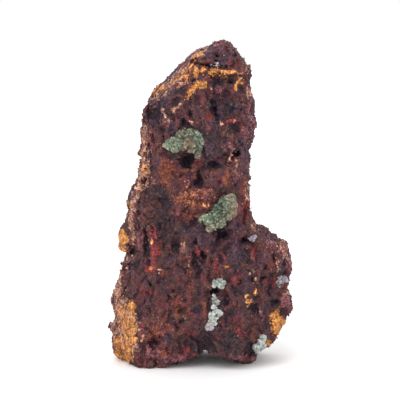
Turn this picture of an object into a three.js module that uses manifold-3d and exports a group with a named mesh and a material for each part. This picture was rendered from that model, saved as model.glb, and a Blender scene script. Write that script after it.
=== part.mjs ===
// A hand specimen of austinite: pale green crystal crusts on a craggy iron-oxide matrix.
// Millimetres, +Z up. The origin is the middle of the base, on the surface that the rock
// stands on. -Y is the face that carries the crusts, +X is to its right.
import * as THREE from "three";
import { ImprovedNoise } from "three/addons/math/ImprovedNoise.js";
import { mergeVertices } from "three/addons/utils/BufferGeometryUtils.js";
import Module from "manifold-3d";

const wasm = await Module();
wasm.setup();
const noise = new ImprovedNoise();

// ---- Driving dimensions, in millimetres ----

// The rock's extents at rising heights: z, left (-X), right (+X), front (-Y), back (+Y).
const LEVELS = [
  [-2.0, -17.6, 12.8, -12.2, 12.0],
  [1.2, -19.2, 13.8, -13.4, 13.0],
  [4.0, -20.8, 16.8, -14.2, 13.8],
  [7.0, -21.2, 19.2, -14.6, 14.2],
  [10.5, -20.4, 20.5, -14.8, 14.3],
  [14.0, -21.0, 21.6, -14.8, 14.2],
  [17.5, -20.0, 21.1, -14.6, 13.9],
  [21.0, -18.8, 21.3, -14.4, 13.4],
  [24.5, -17.8, 21.5, -14.0, 13.0],
  [27.8, -17.6, 20.3, -13.6, 12.7],
  [29.6, -17.4, 17.6, -13.3, 12.4],
  [31.2, -17.3, 14.7, -13.0, 12.2],
  [33.8, -17.2, 13.4, -12.6, 11.8],
  [37.6, -17.7, 12.0, -12.2, 11.3],
  [42.0, -15.9, 11.6, -11.9, 11.0],
  [46.5, -14.5, 11.8, -11.6, 10.6],
  [51.0, -14.0, 11.6, -11.2, 10.2],
  [54.5, -13.5, 12.7, -10.8, 9.9],
  [57.5, -13.4, 13.2, -10.4, 9.5],
  [60.5, -13.4, 12.7, -9.9, 9.0],
  [63.3, -12.3, 12.0, -9.2, 8.4],
  [65.2, -10.4, 11.7, -8.5, 7.8],
  [67.8, -7.6, 11.5, -7.4, 7.0],
  [70.2, -5.4, 10.8, -6.2, 6.2],
  [72.6, -3.8, 9.7, -5.2, 5.4],
  [74.6, -0.2, 8.2, -4.0, 4.4],
  [76.0, 2.8, 7.0, -2.6, 3.2],
  [77.2, 5.0, 6.1, -0.9, 1.4],
];
// The corners of the cross-section between those extents, from -1 to 1 on each side. The
// corner at the front left is cut off, so that a narrow face looks to the left.
const SECTION = [
  [1.0, 0.1],
  [0.86, 0.74],
  [0.3, 1.0],
  [-0.42, 0.94],
  [-0.9, 0.6],
  [-1.0, 0.0],
  [-0.9, -0.42],
  [-0.66, -0.9],
  [-0.05, -1.0],
  [0.55, -0.94],
  [0.9, -0.5],
];
const AROUND = 32; // facets around the rock
const UPWARD = 39; // rings of facets up the rock
// Lumps and dents of the broken surface: distance between them, and how far they stray.
const LUMPS = [
  { apart: 6.4, stray: 1.7 },
  { apart: 3.1, stray: 1.1 },
];

// Broad swells and hollows: side, place across, height, reach, and how far out or in.
const SWELLS = [
  ["front", 3.4, 72.6, 4.6, 1.3],
  ["front", 4.4, 64.0, 4.6, -2.0],
  ["front", -6.0, 61.6, 3.4, 1.2],
  ["front", -11.4, 60.2, 2.8, -1.2],
  ["front", 10.6, 57.0, 3.6, 1.0],
  ["front", -8.4, 45.6, 3.6, -1.1],
  ["front", 8.8, 46.5, 3.4, 0.8],
  ["front", -1.0, 40.6, 4.8, 1.1],
  ["front", -9.4, 36.2, 5.2, -1.5],
  ["front", -3.2, 27.0, 2.8, 1.0],
  ["front", 4.8, 29.6, 4.0, -1.4],
  ["front", 14.6, 26.6, 4.4, 1.4],
  ["front", 10.8, 22.8, 3.0, -1.2],
  ["front", -8.6, 11.6, 4.6, 0.9],
  ["front", 0.2, 16.4, 3.6, 0.6],
  ["front", -0.8, 5.0, 4.2, -2.2],
  ["front", 8.4, 6.2, 5.4, 1.2],
  ["front", 16.0, 12.0, 3.6, 0.8],
  ["back", -7.0, 29.0, 6.5, -2.4],
  ["back", 8.0, 20.5, 7.5, 1.8],
  ["back", -12.0, 12.0, 6.5, 1.6],
  ["back", 4.0, 46.0, 6.0, -1.9],
  ["back", -5.0, 58.0, 5.6, 1.4],
  ["back", 1.5, 7.0, 5.0, -1.6],
  ["back", 8.5, 63.0, 4.6, 1.0],
  ["back", -1.0, 38.0, 4.4, 1.4],
  ["left", 2.0, 43.0, 5.0, -0.7],
  ["left", 5.5, 22.0, 6.0, 0.8],
  ["left", 1.0, 56.0, 4.5, 0.5],
  ["right", 4.0, 40.0, 5.5, -0.7],
  ["right", 3.0, 24.0, 5.0, 0.7],
  ["right", 4.5, 57.0, 5.0, 0.6],
];
// Flat breaks: a point on each, and the direction that it faces.
const BREAKS = [
  { at: [-7.3, 1.0, 70.0], facing: [-0.64, -0.42, 0.64] },
  { at: [-10.5, 4.5, 66.0], facing: [-0.66, 0.5, 0.56] },
  { at: [9.6, 5.2, 70.0], facing: [0.5, 0.62, 0.6] },
  { at: [-15.4, 9.2, 40.0], facing: [-0.62, 0.77, 0.12] },
  { at: [12.0, 9.8, 44.0], facing: [0.52, 0.84, 0.16] },
  { at: [-16.4, 11.6, 4.0], facing: [-0.5, 0.72, -0.48] },
  { at: [15.4, 11.6, 3.0], facing: [0.6, 0.62, -0.5] },
  { at: [12.0, -9.0, 0.0], facing: [0.3, -0.35, -0.89] },
];
// Knobs that stand out of the rock: side, place across, height, radii across, up and deep.
const KNOBS = [
  ["left", -1.0, 29.8, 3.4, 3.9, 4.6],
  ["left", -3.0, 15.0, 2.2, 1.7, 2.6],
  ["left", -3.0, 8.0, 2.2, 1.5, 2.8],
  ["right", -1.2, 70.6, 1.5, 1.1, 3.4],
  ["right", -5.0, 23.6, 4.4, 3.0, 3.0],
  ["right", -4.0, 12.8, 3.8, 3.5, 3.4],
  ["front", 15.2, 26.4, 4.0, 3.4, 3.2],
  ["front", 15.6, 10.6, 3.4, 3.8, 2.6],
  ["back", 11.5, 26.5, 4.2, 3.6, 3.2],
  ["back", -7.0, 48.0, 3.4, 4.0, 2.6],
];
const KNOB_SINK = 0.6; // how far a knob's middle is under the surface, as a share of its depth
// Solution cavities: side, place across, height, radii across, up and deep.
const CAVITIES = [
  ["front", -11.2, 59.8, 1.6, 2.3, 2.6],
  ["front", 5.2, 62.6, 3.1, 3.7, 1.7],
  ["front", -2.9, 49.4, 1.6, 1.6, 2.6],
  ["front", -0.3, 44.6, 1.2, 1.9, 2.0],
  ["front", 3.1, 48.3, 2.5, 1.3, 1.8],
  ["front", 5.2, 32.0, 1.8, 1.7, 2.0],
  ["front", 11.0, 30.0, 1.3, 1.1, 2.0],
  ["front", -12.2, 28.8, 0.9, 4.2, 1.8],
  ["front", 3.2, 18.6, 1.4, 1.0, 2.2],
  ["front", -10.9, 6.2, 1.4, 0.9, 2.0],
  ["left", 3.0, 37.5, 1.8, 2.8, 2.0],
  ["left", 7.5, 10.0, 2.2, 1.8, 2.0],
  ["right", -2.0, 18.2, 2.6, 1.4, 2.2],
  ["right", 3.0, 43.0, 2.2, 3.0, 2.0],
  ["back", -11.0, 25.5, 2.6, 3.0, 2.6],
  ["back", 2.0, 22.0, 2.2, 2.8, 2.4],
  ["back", -3.5, 40.5, 2.8, 1.8, 2.2],
  ["back", 7.0, 49.5, 2.0, 2.8, 2.0],
  ["back", -0.5, 62.5, 2.4, 1.8, 1.8],
  ["back", 12.0, 8.5, 2.8, 2.0, 2.2],
];
// The crack under the summit, over the ledge: middle, half sizes, and tilt about +Y.
const CRACK = { at: [2.4, -8.6, 70.7], half: [3.0, 2.6, 0.35], tilt: 0.1 };
// The arches under the base, between its feet, run right through from front to back.
const ARCHES = [
  { at: [2.2, 0.0, -1.5], half: [8.5, 40.0, 4.8] },
  { at: [-8.4, 0.0, -2.0], half: [4.4, 40.0, 3.0] },
];

const CRYSTAL = { length: 1.1, radius: 0.36, sink: 0.5 }; // an average crystal
const CRYSTAL_COLOURS = { green: 0x8a9a82, pale: 0xb4beb4, grey: 0x98909a };
const BEAD_DEPTH = 0.7; // how far a bead stands out, as a share of its radius
const SEAT_GAP = 0.3; // between a crust and the rock that it grows on
// Crusts on the front: name, colour, crystals, and beads of crystals as place across, height
// and radius.
const CRUSTS = [
  ["crust_upper", "green", 10, [
    [-6.3, 52.7, 2.1], [-4.5, 54.7, 1.3], [-2.6, 55.1, 1.5],
    [-0.8, 53.9, 1.6], [-0.6, 51.9, 1.3], [-0.7, 50.5, 0.9],
  ]],
  ["crust_middle", "green", 11, [
    [1.4, 33.6, 0.9], [1.3, 35.4, 1.8], [4.1, 36.5, 2.1], [6.0, 38.1, 2.3], [7.1, 39.8, 1.5],
  ]],
  ["crust_bead", "pale", 5, [[3.9, 20.5, 0.9], [5.0, 20.7, 0.9]]],
  ["crust_fleck", "pale", 3, [[3.6, 17.1, 0.7]]],
  ["crust_trail", "pale", 7, [[3.4, 14.7, 0.8], [4.1, 13.7, 1.1], [2.9, 12.5, 1.3], [2.3, 10.9, 1.2]]],
  ["crust_foot", "pale", 6, [[14.7, 7.1, 0.9], [14.1, 5.7, 1.3], [13.6, 4.5, 1.0]]],
  ["crust_edge", "grey", 4, [[18.6, 19.9, 1.0], [19.4, 20.6, 1.1]]],
  ["crust_shoulder", "grey", 3, [[12.4, 30.8, 0.7]]],
  ["crust_ledge", "grey", 4, [[3.0, 71.6, 0.8], [3.9, 71.5, 0.8]]],
];

// ---- Geometry helpers ----

// The outward direction of each side, and how a place across and a height map to a point.
const SIDES = {
  front: { out: new THREE.Vector3(0, -1, 0), at: (across, up) => new THREE.Vector3(across, -60, up) },
  back: { out: new THREE.Vector3(0, 1, 0), at: (across, up) => new THREE.Vector3(across, 60, up) },
  left: { out: new THREE.Vector3(-1, 0, 0), at: (across, up) => new THREE.Vector3(-60, across, up) },
  right: { out: new THREE.Vector3(1, 0, 0), at: (across, up) => new THREE.Vector3(60, across, up) },
};

// A small number from -1 to 1 that looks random but is the same each time.
function jitter(n) {
  return 2 * THREE.MathUtils.seededRandom(1 + Math.round(n * 97)) - 1;
}

// The lumps and dents of the broken surface at a point.
function unevenness(p) {
  return LUMPS.reduce((sum, { apart, stray }) => {
    return sum + stray * noise.noise(p.x / apart, p.y / apart, p.z / apart);
  }, 0);
}

function solidOf(geometry) {
  const plain = geometry.clone();
  plain.deleteAttribute("normal");
  plain.deleteAttribute("uv");
  const merged = mergeVertices(plain, 1e-4);
  return new wasm.Manifold(
    new wasm.Mesh({
      numProp: 3,
      vertProperties: merged.attributes.position.array,
      triVerts: new Uint32Array(merged.index.array),
    }),
  );
}

function geometryOf(solid) {
  const mesh = solid.getMesh();
  const geometry = new THREE.BufferGeometry();
  geometry.setAttribute("position", new THREE.BufferAttribute(mesh.vertProperties, 3));
  geometry.setIndex(new THREE.BufferAttribute(mesh.triVerts, 1));
  geometry.computeVertexNormals();
  return geometry;
}

// A lumpy ellipsoid whose third radius points along the outward direction.
function blob(centre, radii, outward, detail, seed) {
  const geometry = new THREE.IcosahedronGeometry(1, detail);
  const turn = new THREE.Matrix4().lookAt(outward, new THREE.Vector3(), new THREE.Vector3(0, 0, 1));
  const points = geometry.attributes.position;
  const p = new THREE.Vector3();
  for (let i = 0; i < points.count; i += 1) {
    p.fromBufferAttribute(points, i);
    p.multiplyScalar(1 + 0.1 * Math.sin(3.1 * p.x + seed) * Math.cos(2.7 * p.y - seed + 1.9 * p.z));
    points.setXYZ(i, p.x * radii[0], p.y * radii[1], p.z * radii[2]);
  }
  geometry.applyMatrix4(turn);
  geometry.translate(centre.x, centre.y, centre.z);
  return geometry;
}

// Where a line of sight from one side first meets a mesh.
function onSurface(mesh, side, across, up) {
  const { out, at } = SIDES[side];
  const hits = new THREE.Raycaster(at(across, up), out.clone().negate()).intersectObject(mesh);
  if (!hits.length) throw new Error(`nothing at ${side} ${across}, ${up}`);
  return { point: hits[0].point, normal: hits[0].face.normal.clone() };
}

// ---- The rock ----

// The rock's extents at a height, between its levels.
function extentsAt(z) {
  let i = 1;
  while (i < LEVELS.length - 1 && LEVELS[i][0] < z) i += 1;
  const [low, high] = [LEVELS[i - 1], LEVELS[i]];
  const t = THREE.MathUtils.clamp((z - low[0]) / (high[0] - low[0]), 0, 1);
  return low.map((value, k) => THREE.MathUtils.lerp(value, high[k], t)).slice(1);
}

// The swells and hollows at a point of the surface that looks along facing.
function swellAt(p, facing) {
  const moved = new THREE.Vector3();
  for (const [side, across, up, reach, height] of SWELLS) {
    const { out, at } = SIDES[side];
    const centre = at(across, up);
    const aside = out.y ? p.x - centre.x : p.y - centre.y;
    const share = Math.exp(-(aside ** 2 + (p.z - up) ** 2) / reach ** 2);
    moved.addScaledVector(out, height * share * Math.max(0, out.dot(facing)));
  }
  return moved;
}

// The main mass: a closed cylinder whose rings follow the levels and the cross-section.
function bodyGeometry() {
  const outline = new THREE.Path([...SECTION, SECTION[0]].map(([x, y]) => new THREE.Vector2(x, y)));
  const bottom = LEVELS[0][0];
  const height = LEVELS.at(-1)[0] - bottom;
  const geometry = new THREE.CylinderGeometry(1, 1, height, AROUND, UPWARD).rotateX(Math.PI / 2);
  geometry.translate(0, 0, height / 2 + bottom);
  const points = geometry.attributes.position;
  const p = new THREE.Vector3();
  for (let i = 0; i < points.count; i += 1) {
    p.fromBufferAttribute(points, i);
    const share = (Math.atan2(p.y, p.x) / (2 * Math.PI) + 1) % 1;
    const radius = Math.hypot(p.x, p.y);
    const [left, right, front, back] = extentsAt(p.z);
    const edge = outline.getPointAt(share);
    p.x = THREE.MathUtils.lerp(left, right, (edge.x * radius + 1) / 2);
    p.y = THREE.MathUtils.lerp(front, back, (edge.y * radius + 1) / 2);
    const facing = new THREE.Vector3(edge.x, edge.y, 0).normalize();
    const moved = swellAt(p, facing).addScaledVector(facing, unevenness(p));
    p.addScaledVector(moved, radius);
    points.setXYZ(i, p.x, p.y, p.z);
  }
  return geometry;
}

function box({ at, half, tilt = 0 }) {
  const geometry = new THREE.BoxGeometry(2 * half[0], 2 * half[1], 2 * half[2]);
  return geometry.rotateY(tilt).translate(...at);
}

// All that lies beyond a flat break.
function beyond({ at, facing }) {
  const outward = new THREE.Vector3(...facing).normalize();
  const reach = 60;
  const geometry = new THREE.BoxGeometry(2 * reach, 2 * reach, 2 * reach).translate(0, 0, reach);
  const turn = new THREE.Matrix4().lookAt(outward, new THREE.Vector3(), new THREE.Vector3(0, 1, 0));
  geometry.applyMatrix4(turn);
  return geometry.translate(...at);
}

function rockSolid() {
  let rock = solidOf(bodyGeometry());
  BREAKS.forEach((plane) => {
    rock = rock.subtract(solidOf(beyond(plane)));
  });
  const broken = new THREE.Mesh(geometryOf(rock));
  KNOBS.forEach(([side, across, up, ...radii], i) => {
    const { point } = onSurface(broken, side, across, up);
    point.addScaledVector(SIDES[side].out, -KNOB_SINK * radii[2]);
    rock = rock.add(solidOf(blob(point, radii, SIDES[side].out, 1, i)));
  });
  const knobbly = new THREE.Mesh(geometryOf(rock));
  CAVITIES.forEach(([side, across, up, ...radii], i) => {
    const { point } = onSurface(knobbly, side, across, up);
    rock = rock.subtract(solidOf(blob(point, radii, SIDES[side].out, 1, i)));
  });
  rock = rock.subtract(solidOf(box(CRACK)));
  ARCHES.forEach(({ at, half }) => {
    const arch = new THREE.CylinderGeometry(1, 1, 2 * half[1], 16);
    arch.scale(half[0], 1, half[2]).translate(...at);
    rock = rock.subtract(solidOf(arch));
  });
  const below = box({ at: [0, 0, -10], half: [60, 60, 10] });
  return rock.subtract(solidOf(below));
}

// ---- The crystal crusts ----

// One stout crystal with four faces to its point, standing along the outward direction.
function crystal(foot, outward, length, radius, turn) {
  const profile = [[0, 0], [radius, 0.3 * length], [0, length]];
  const geometry = new THREE.LatheGeometry(profile.map(([x, y]) => new THREE.Vector2(x, y)), 4);
  geometry.rotateY(turn);
  const lean = new THREE.Quaternion().setFromUnitVectors(new THREE.Vector3(0, 1, 0), outward);
  geometry.applyQuaternion(lean);
  return geometry.translate(foot.x, foot.y, foot.z);
}

// A crust: flattened beads that follow the rock, with crystals fanned out over them.
function crustSolid(rock, surface, { name, count, beads }) {
  const { out } = SIDES.front;
  const mounds = beads.map(([across, up, radius]) => {
    const { point, normal } = onSurface(surface, "front", across, up);
    point.addScaledVector(out, SEAT_GAP);
    return { point, radius, outward: normal.lerp(out, 0.6).normalize() };
  });
  let crust = null;
  mounds.forEach(({ point, radius, outward }, i) => {
    const mound = solidOf(blob(point, [radius, radius, BEAD_DEPTH * radius], outward, 1, i));
    crust = crust ? crust.add(mound) : mound;
  });
  for (let i = 0; i < count; i += 1) {
    const { point, radius, outward } = mounds[i % mounds.length];
    const spin = 2.4 * i;
    const lean = Math.sqrt((i + 0.5) / count);
    const aside = new THREE.Vector3(0, 0, 1).cross(outward).normalize();
    const upward = outward.clone().cross(aside);
    const ray = outward.clone().multiplyScalar(1.15 - lean);
    ray.addScaledVector(aside, lean * Math.cos(spin)).addScaledVector(upward, lean * Math.sin(spin));
    ray.normalize();
    const skin = radius * THREE.MathUtils.lerp(BEAD_DEPTH, 1, lean);
    const foot = point.clone().addScaledVector(ray, skin - CRYSTAL.sink);
    const length = CRYSTAL.length * (1 + 0.3 * jitter(i)) * Math.min(1, 0.55 + 0.3 * radius);
    const thickness = CRYSTAL.radius * (1 + 0.25 * jitter(i + 50));
    crust = crust.add(solidOf(crystal(foot, ray, length, thickness, spin)));
  }
  const seated = crust.subtract(rock.translate(out.x * SEAT_GAP, out.y * SEAT_GAP, out.z * SEAT_GAP));
  const pieces = seated.decompose().sort((a, b) => b.volume() - a.volume());
  if (!pieces.length) throw new Error(`${name} is inside the rock`);
  return pieces[0];
}

// ---- Materials and assembly ----

function gossan() {
  return new THREE.MeshStandardMaterial({ color: 0x5a3230, roughness: 0.8, metalness: 0 });
}

function austinite(colour) {
  return new THREE.MeshStandardMaterial({ color: CRYSTAL_COLOURS[colour], roughness: 0.35, metalness: 0 });
}

function piece(name, solid, material) {
  const mesh = new THREE.Mesh(geometryOf(solid), material);
  mesh.name = name;
  return mesh;
}

const specimen = new THREE.Group();
const rock = rockSolid();
const rockMesh = piece("matrix_rock", rock, gossan());
specimen.add(rockMesh);
for (const [name, colour, count, beads] of CRUSTS) {
  specimen.add(piece(name, crustSolid(rock, rockMesh, { name, count, beads }), austinite(colour)));
}

// The origin goes to the middle of the base.
const bounds = new THREE.Box3().setFromObject(specimen);
const middle = bounds.getCenter(new THREE.Vector3());
specimen.position.set(-middle.x, -middle.y, -bounds.min.z);

export default specimen;
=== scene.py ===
"""Austinite crystals on gossan: green crystal crusts on a craggy lump of red-brown iron-oxide rock.

The frame's matrix_rock is turned into a distance field, roughened there, and meshed again. Small
grains are strewn over it, and the crystal crusts grow on it. Lengths in this script are
millimetres, in the frame's own axes, and become metres where a mesh is made.
"""
import functools
import math

import bpy
import numpy as np
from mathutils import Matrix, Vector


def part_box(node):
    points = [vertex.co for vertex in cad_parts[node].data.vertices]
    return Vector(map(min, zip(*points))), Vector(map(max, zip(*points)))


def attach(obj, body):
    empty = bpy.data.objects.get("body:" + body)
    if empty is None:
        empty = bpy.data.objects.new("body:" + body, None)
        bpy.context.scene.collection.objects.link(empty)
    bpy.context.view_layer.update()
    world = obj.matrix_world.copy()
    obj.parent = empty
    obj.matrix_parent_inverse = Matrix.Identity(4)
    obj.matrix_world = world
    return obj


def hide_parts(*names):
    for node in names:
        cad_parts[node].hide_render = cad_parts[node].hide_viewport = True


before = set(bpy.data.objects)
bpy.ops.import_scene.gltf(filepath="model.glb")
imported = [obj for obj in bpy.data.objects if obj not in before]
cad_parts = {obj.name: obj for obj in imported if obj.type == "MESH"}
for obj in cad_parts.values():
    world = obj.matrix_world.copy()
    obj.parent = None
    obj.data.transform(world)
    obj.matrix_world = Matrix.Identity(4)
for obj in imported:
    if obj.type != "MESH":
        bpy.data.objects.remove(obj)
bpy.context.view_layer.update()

import openvdb
from mathutils import Vector

MM = 0.001
SEED = 20

# ---- Sizes ----

VOXEL = 0.27  # of the rock's distance field
BAND = 3.2  # how far from the surface the field is known
PAD = 3.0  # free space around the frame's box in the field
FACET_BLUR = 1.0  # smooths the frame's facets away
PIT_BLUR, DEPTH_BLUR = 0.7, 2.0  # reach of the smoothings that tell hollows from ridges
# y where the front's relief and paint begin to count, and where they count in full
RELIEF_EDGE = (5.0, -2.0)
PAINT_EDGE = (8.5, 3.0)
# The same for how far the surface faces the front, from 1 to -1: where the front's paint counts,
# and where its features are moved about more.
PAINT_AHEAD = (-0.4, -0.1)
LOOSE_AHEAD = (0.25, -0.05)
MAX_TRIANGLES = 190_000  # of one piece
CLEARANCE = 0.02  # between the grains and the floor

# The front's features are laid out for a rock of one height, on an upright sheet through its
# middle. They reach the surface along lines that fan out from a point in front of it.
LAID_OUT_HEIGHT = 77.2
FAN_FROM = (-398.0, 80.5)  # y and z
SHEET_LIFT = 1.4  # height on the sheet of a point at the foot of the front


def box(name):
    """A node's lowest and highest corners, in millimetres."""
    return [np.array(corner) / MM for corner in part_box(name)]


ROCK_LOW, ROCK_HIGH = box("matrix_rock")
SCALE = (ROCK_HIGH[2] - ROCK_LOW[2]) / LAID_OUT_HEIGHT

# ---- The view ----

VIEW_WIDTH = 96.0  # of the picture at the object
LENS = 150.0
SENSOR = 36.0
CAMERA_ELEVATION = 6.0
AIM = (0.0, 0.0, 38.7)  # what the middle of the picture shows
FLOOR_REACH = 3000.0
DOME = 0.75  # brightness of the sky overhead; it is 1 at the horizon
# Soft lights: azimuth (0 is the front, positive to the right), elevation, strength, angle across
SUNS = [
    ("key", -30, 50, 1.6, 50),
    ("fill", 50, 25, 0.4, 60),
    ("low", -5, 8, 0.8, 40),
    ("rim", 170, 40, 1.4, 60),
]


# ---- Small helpers ----

def linear(red, green, blue):
    """A colour given as eight-bit display values."""
    def one(value):
        value /= 255
        return value / 12.92 if value <= 0.04045 else ((value + 0.055) / 1.055) ** 2.4
    return (one(red), one(green), one(blue), 1.0)


def smoothstep(low, high, value):
    t = np.clip((value - low) / (high - low), 0, 1)
    return t * t * (3 - 2 * t)


def linked(name, data):
    """A new object in the scene."""
    obj = bpy.data.objects.new(name, data)
    bpy.context.scene.collection.objects.link(obj)
    return obj


def mesh_arrays(mesh):
    """Vertices in millimetres and triangles of a mesh."""
    points = np.empty(len(mesh.vertices) * 3, np.float32)
    mesh.vertices.foreach_get("co", points)
    mesh.calc_loop_triangles()
    triangles = np.empty(len(mesh.loop_triangles) * 3, np.int32)
    mesh.loop_triangles.foreach_get("vertices", triangles)
    return points.reshape(-1, 3) / MM, triangles.reshape(-1, 3)


def mesh_object(name, points, faces, smooth=True):
    """A mesh object from points in millimetres."""
    mesh = bpy.data.meshes.new(name)
    mesh.vertices.add(len(points))
    mesh.vertices.foreach_set("co", (np.asarray(points, np.float32) * MM).ravel())
    faces = np.asarray(faces, np.int32)
    mesh.loops.add(faces.size)
    mesh.loops.foreach_set("vertex_index", faces.ravel())
    mesh.polygons.add(len(faces))
    starts = np.arange(0, faces.size, faces.shape[1], dtype=np.int32)
    mesh.polygons.foreach_set("loop_start", starts)
    mesh.update(calc_edges=True)
    mesh.polygons.foreach_set("use_smooth", np.full(len(faces), smooth))
    return linked(name, mesh)


def set_attribute(obj, name, values):
    """Stores one number a vertex."""
    attribute = obj.data.attributes.new(name, "FLOAT", "POINT")
    attribute.data.foreach_set("value", np.asarray(values, np.float32))


def repeated(corners, pattern):
    """Points and triangles of many shapes alike: for each corner of a shape its places in all."""
    points = np.stack(corners, 1)
    count, size = points.shape[:2]
    faces = np.array(pattern)[None] + size * np.arange(count)[:, None, None]
    return points.reshape(-1, 3), faces.reshape(-1, 3)


def apply_modifiers(obj):
    depsgraph = bpy.context.evaluated_depsgraph_get()
    mesh = bpy.data.meshes.new_from_object(obj.evaluated_get(depsgraph))
    obj.modifiers.clear()
    obj.data = mesh


# ---- Nodes ----

SEED_STEP = np.array([17.3, 5.1, -9.7])  # moves one seed's noise away from the next one's
GREY = (0.5, 0.5, 0.5)  # the middle of a noise's colours


def feed(tree, node, inputs):
    """Links sockets to a node's inputs, and sets the inputs that get plain values."""
    for key, value in inputs.items():
        if isinstance(value, bpy.types.NodeSocket):
            tree.links.new(value, node.inputs[key])
        else:
            node.inputs[key].default_value = value


def add_node(tree, kind, inputs=None, **settings):
    node = tree.nodes.new(kind)
    for key, value in settings.items():
        setattr(node, key, value)
    feed(tree, node, inputs or {})
    return node


def vector_socket(tree, operation, *vectors):
    inputs = dict(enumerate(vectors))
    return add_node(tree, "ShaderNodeVectorMath", inputs, operation=operation).outputs[0]


def scaled_socket(tree, vector, factor):
    inputs = {0: vector, "Scale": factor}
    return add_node(tree, "ShaderNodeVectorMath", inputs, operation="SCALE").outputs[0]


def texture_node(tree, position, kind, cell, warp=0, seed=0, stretch=1, turn=0, detail=2.0,
                 roughness=0.5):
    """A noise or voronoi texture with features about cell apart, warped, stretched and turned."""
    if turn:
        inputs = {"Vector": position, "Angle": math.radians(turn)}
        position = add_node(tree, "ShaderNodeVectorRotate", inputs, rotation_type="Y_AXIS").outputs[0]
    moved = vector_socket(tree, "MULTIPLY_ADD", position, (1, 1, 1 / stretch), seed * SEED_STEP)
    if warp:
        bend = add_node(tree, "ShaderNodeTexNoise",
                        {"Vector": moved, "Scale": 0.6 / cell, "Detail": 1.0})
        centred = vector_socket(tree, "SUBTRACT", bend.outputs["Color"], GREY)
        moved = vector_socket(tree, "ADD", moved, scaled_socket(tree, centred, 2 * warp))
    if kind == "noise":
        return add_node(tree, "ShaderNodeTexNoise", {
            "Vector": moved, "Scale": 1 / cell, "Detail": detail, "Roughness": roughness})
    return add_node(tree, "ShaderNodeTexVoronoi", {"Vector": moved, "Scale": 1 / cell})


def noise_socket(tree, position, kind, cell, **options):
    """The value of a noise, or the distance to the middle of a voronoi cell."""
    return texture_node(tree, position, kind, cell, **options).outputs[0]


def cell_sockets(tree, position, cell, **options):
    """Three random numbers, each the same all over a voronoi cell, and the three as a colour."""
    colour = texture_node(tree, position, "voronoi", cell, **options).outputs["Color"]
    parts = add_node(tree, "ShaderNodeSeparateColor", {0: colour}).outputs
    return parts[0], parts[1], parts[2], colour


def noises(points, wanted):
    """The named noises, worked out by Geometry Nodes at the points.

    {name: (kind, cell, options)} gives {name: array}.
    """
    mesh = bpy.data.meshes.new("samples")
    mesh.vertices.add(len(points))
    mesh.vertices.foreach_set("co", np.asarray(points, np.float32).ravel())
    obj = linked("samples", mesh)
    tree = bpy.data.node_groups.new("samples", "GeometryNodeTree")
    for way in ("INPUT", "OUTPUT"):
        tree.interface.new_socket("Geometry", in_out=way, socket_type="NodeSocketGeometry")
    geometry = tree.nodes.new("NodeGroupInput").outputs[0]
    position = tree.nodes.new("GeometryNodeInputPosition").outputs[0]
    for name, (kind, cell, options) in wanted.items():
        value = noise_socket(tree, position, kind, cell, **options)
        store = add_node(tree, "GeometryNodeStoreNamedAttribute",
                         {"Geometry": geometry, "Name": name, "Value": value}, domain="POINT")
        geometry = store.outputs[0]
    add_node(tree, "NodeGroupOutput", {0: geometry})
    obj.modifiers.new("fields", "NODES").node_group = tree
    result = obj.evaluated_get(bpy.context.evaluated_depsgraph_get()).data
    found = {}
    for name in wanted:
        found[name] = np.empty(len(points), np.float32)
        result.attributes[name].data.foreach_get("value", found[name])
    bpy.data.objects.remove(obj)
    bpy.data.meshes.remove(mesh)
    bpy.data.node_groups.remove(tree)
    return found


# ---- Distance fields on a grid ----

class Grid:
    """A dense grid of voxels that covers a box."""

    def __init__(self, low, high, voxel):
        self.voxel = voxel
        self.low = np.floor(np.asarray(low) / voxel) * voxel
        self.shape = tuple(np.ceil((np.asarray(high) - self.low) / voxel).astype(int) + 1)

    def axis(self, k):
        return self.low[k] + self.voxel * np.arange(self.shape[k])

    def points(self, mask):
        return np.argwhere(mask) * self.voxel + self.low

    def distance(self, points, triangles):
        """The signed distance to a closed mesh, negative inside."""
        width = BAND / self.voxel
        level_set = openvdb.FloatGrid.createLevelSetFromPolygons(
            np.ascontiguousarray(points - self.low, np.float32),
            triangles=np.ascontiguousarray(triangles, np.uint32),
            transform=openvdb.createLinearTransform(voxelSize=self.voxel), halfWidth=width)
        field = np.empty(self.shape, np.float32)
        level_set.copyToArray(field)
        return field

    def mesh(self, field):
        """Points and quads of the surface where a field is zero."""
        grid = openvdb.FloatGrid(BAND)
        grid.transform = openvdb.createLinearTransform(voxelSize=self.voxel)
        grid.copyFromArray(np.ascontiguousarray(np.clip(field, -BAND, BAND), np.float32))
        points, _, quads = grid.convertToPolygons(isovalue=0.0)
        return points + self.low, quads[:, ::-1].astype(np.int32)

    def sample(self, field, points):
        """A field at any points, by trilinear interpolation."""
        place = (np.asarray(points) - self.low) / self.voxel
        base = np.clip(np.floor(place).astype(int), 0, np.array(self.shape) - 2)
        part = (place - base).astype(np.float32)
        total = np.zeros(len(base), np.float32)
        for dx in (0, 1):
            for dy in (0, 1):
                for dz in (0, 1):
                    corner = np.array([dx, dy, dz])
                    weight = np.abs(1 - corner - part).prod(axis=1)
                    total += weight * field[tuple((base + corner).T)]
        return total


def blurred(field, radius):
    """A field smoothed over about radius voxels each way, by two box filters on each axis."""
    r = max(1, round(radius))
    for axis in (0, 1, 2):
        for _ in range(2):
            padded = np.concatenate([np.repeat(field.take([0], axis), r + 1, axis), field,
                                     np.repeat(field.take([-1], axis), r, axis)], axis)
            total = np.cumsum(padded, axis, dtype=np.float64)
            n = field.shape[axis]
            high = total.take(range(2 * r + 1, 2 * r + 1 + n), axis)
            low = total.take(range(0, n), axis)
            field = ((high - low) / (2 * r + 1)).astype(np.float32)
    return field


# ---- The rock's relief ----

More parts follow.
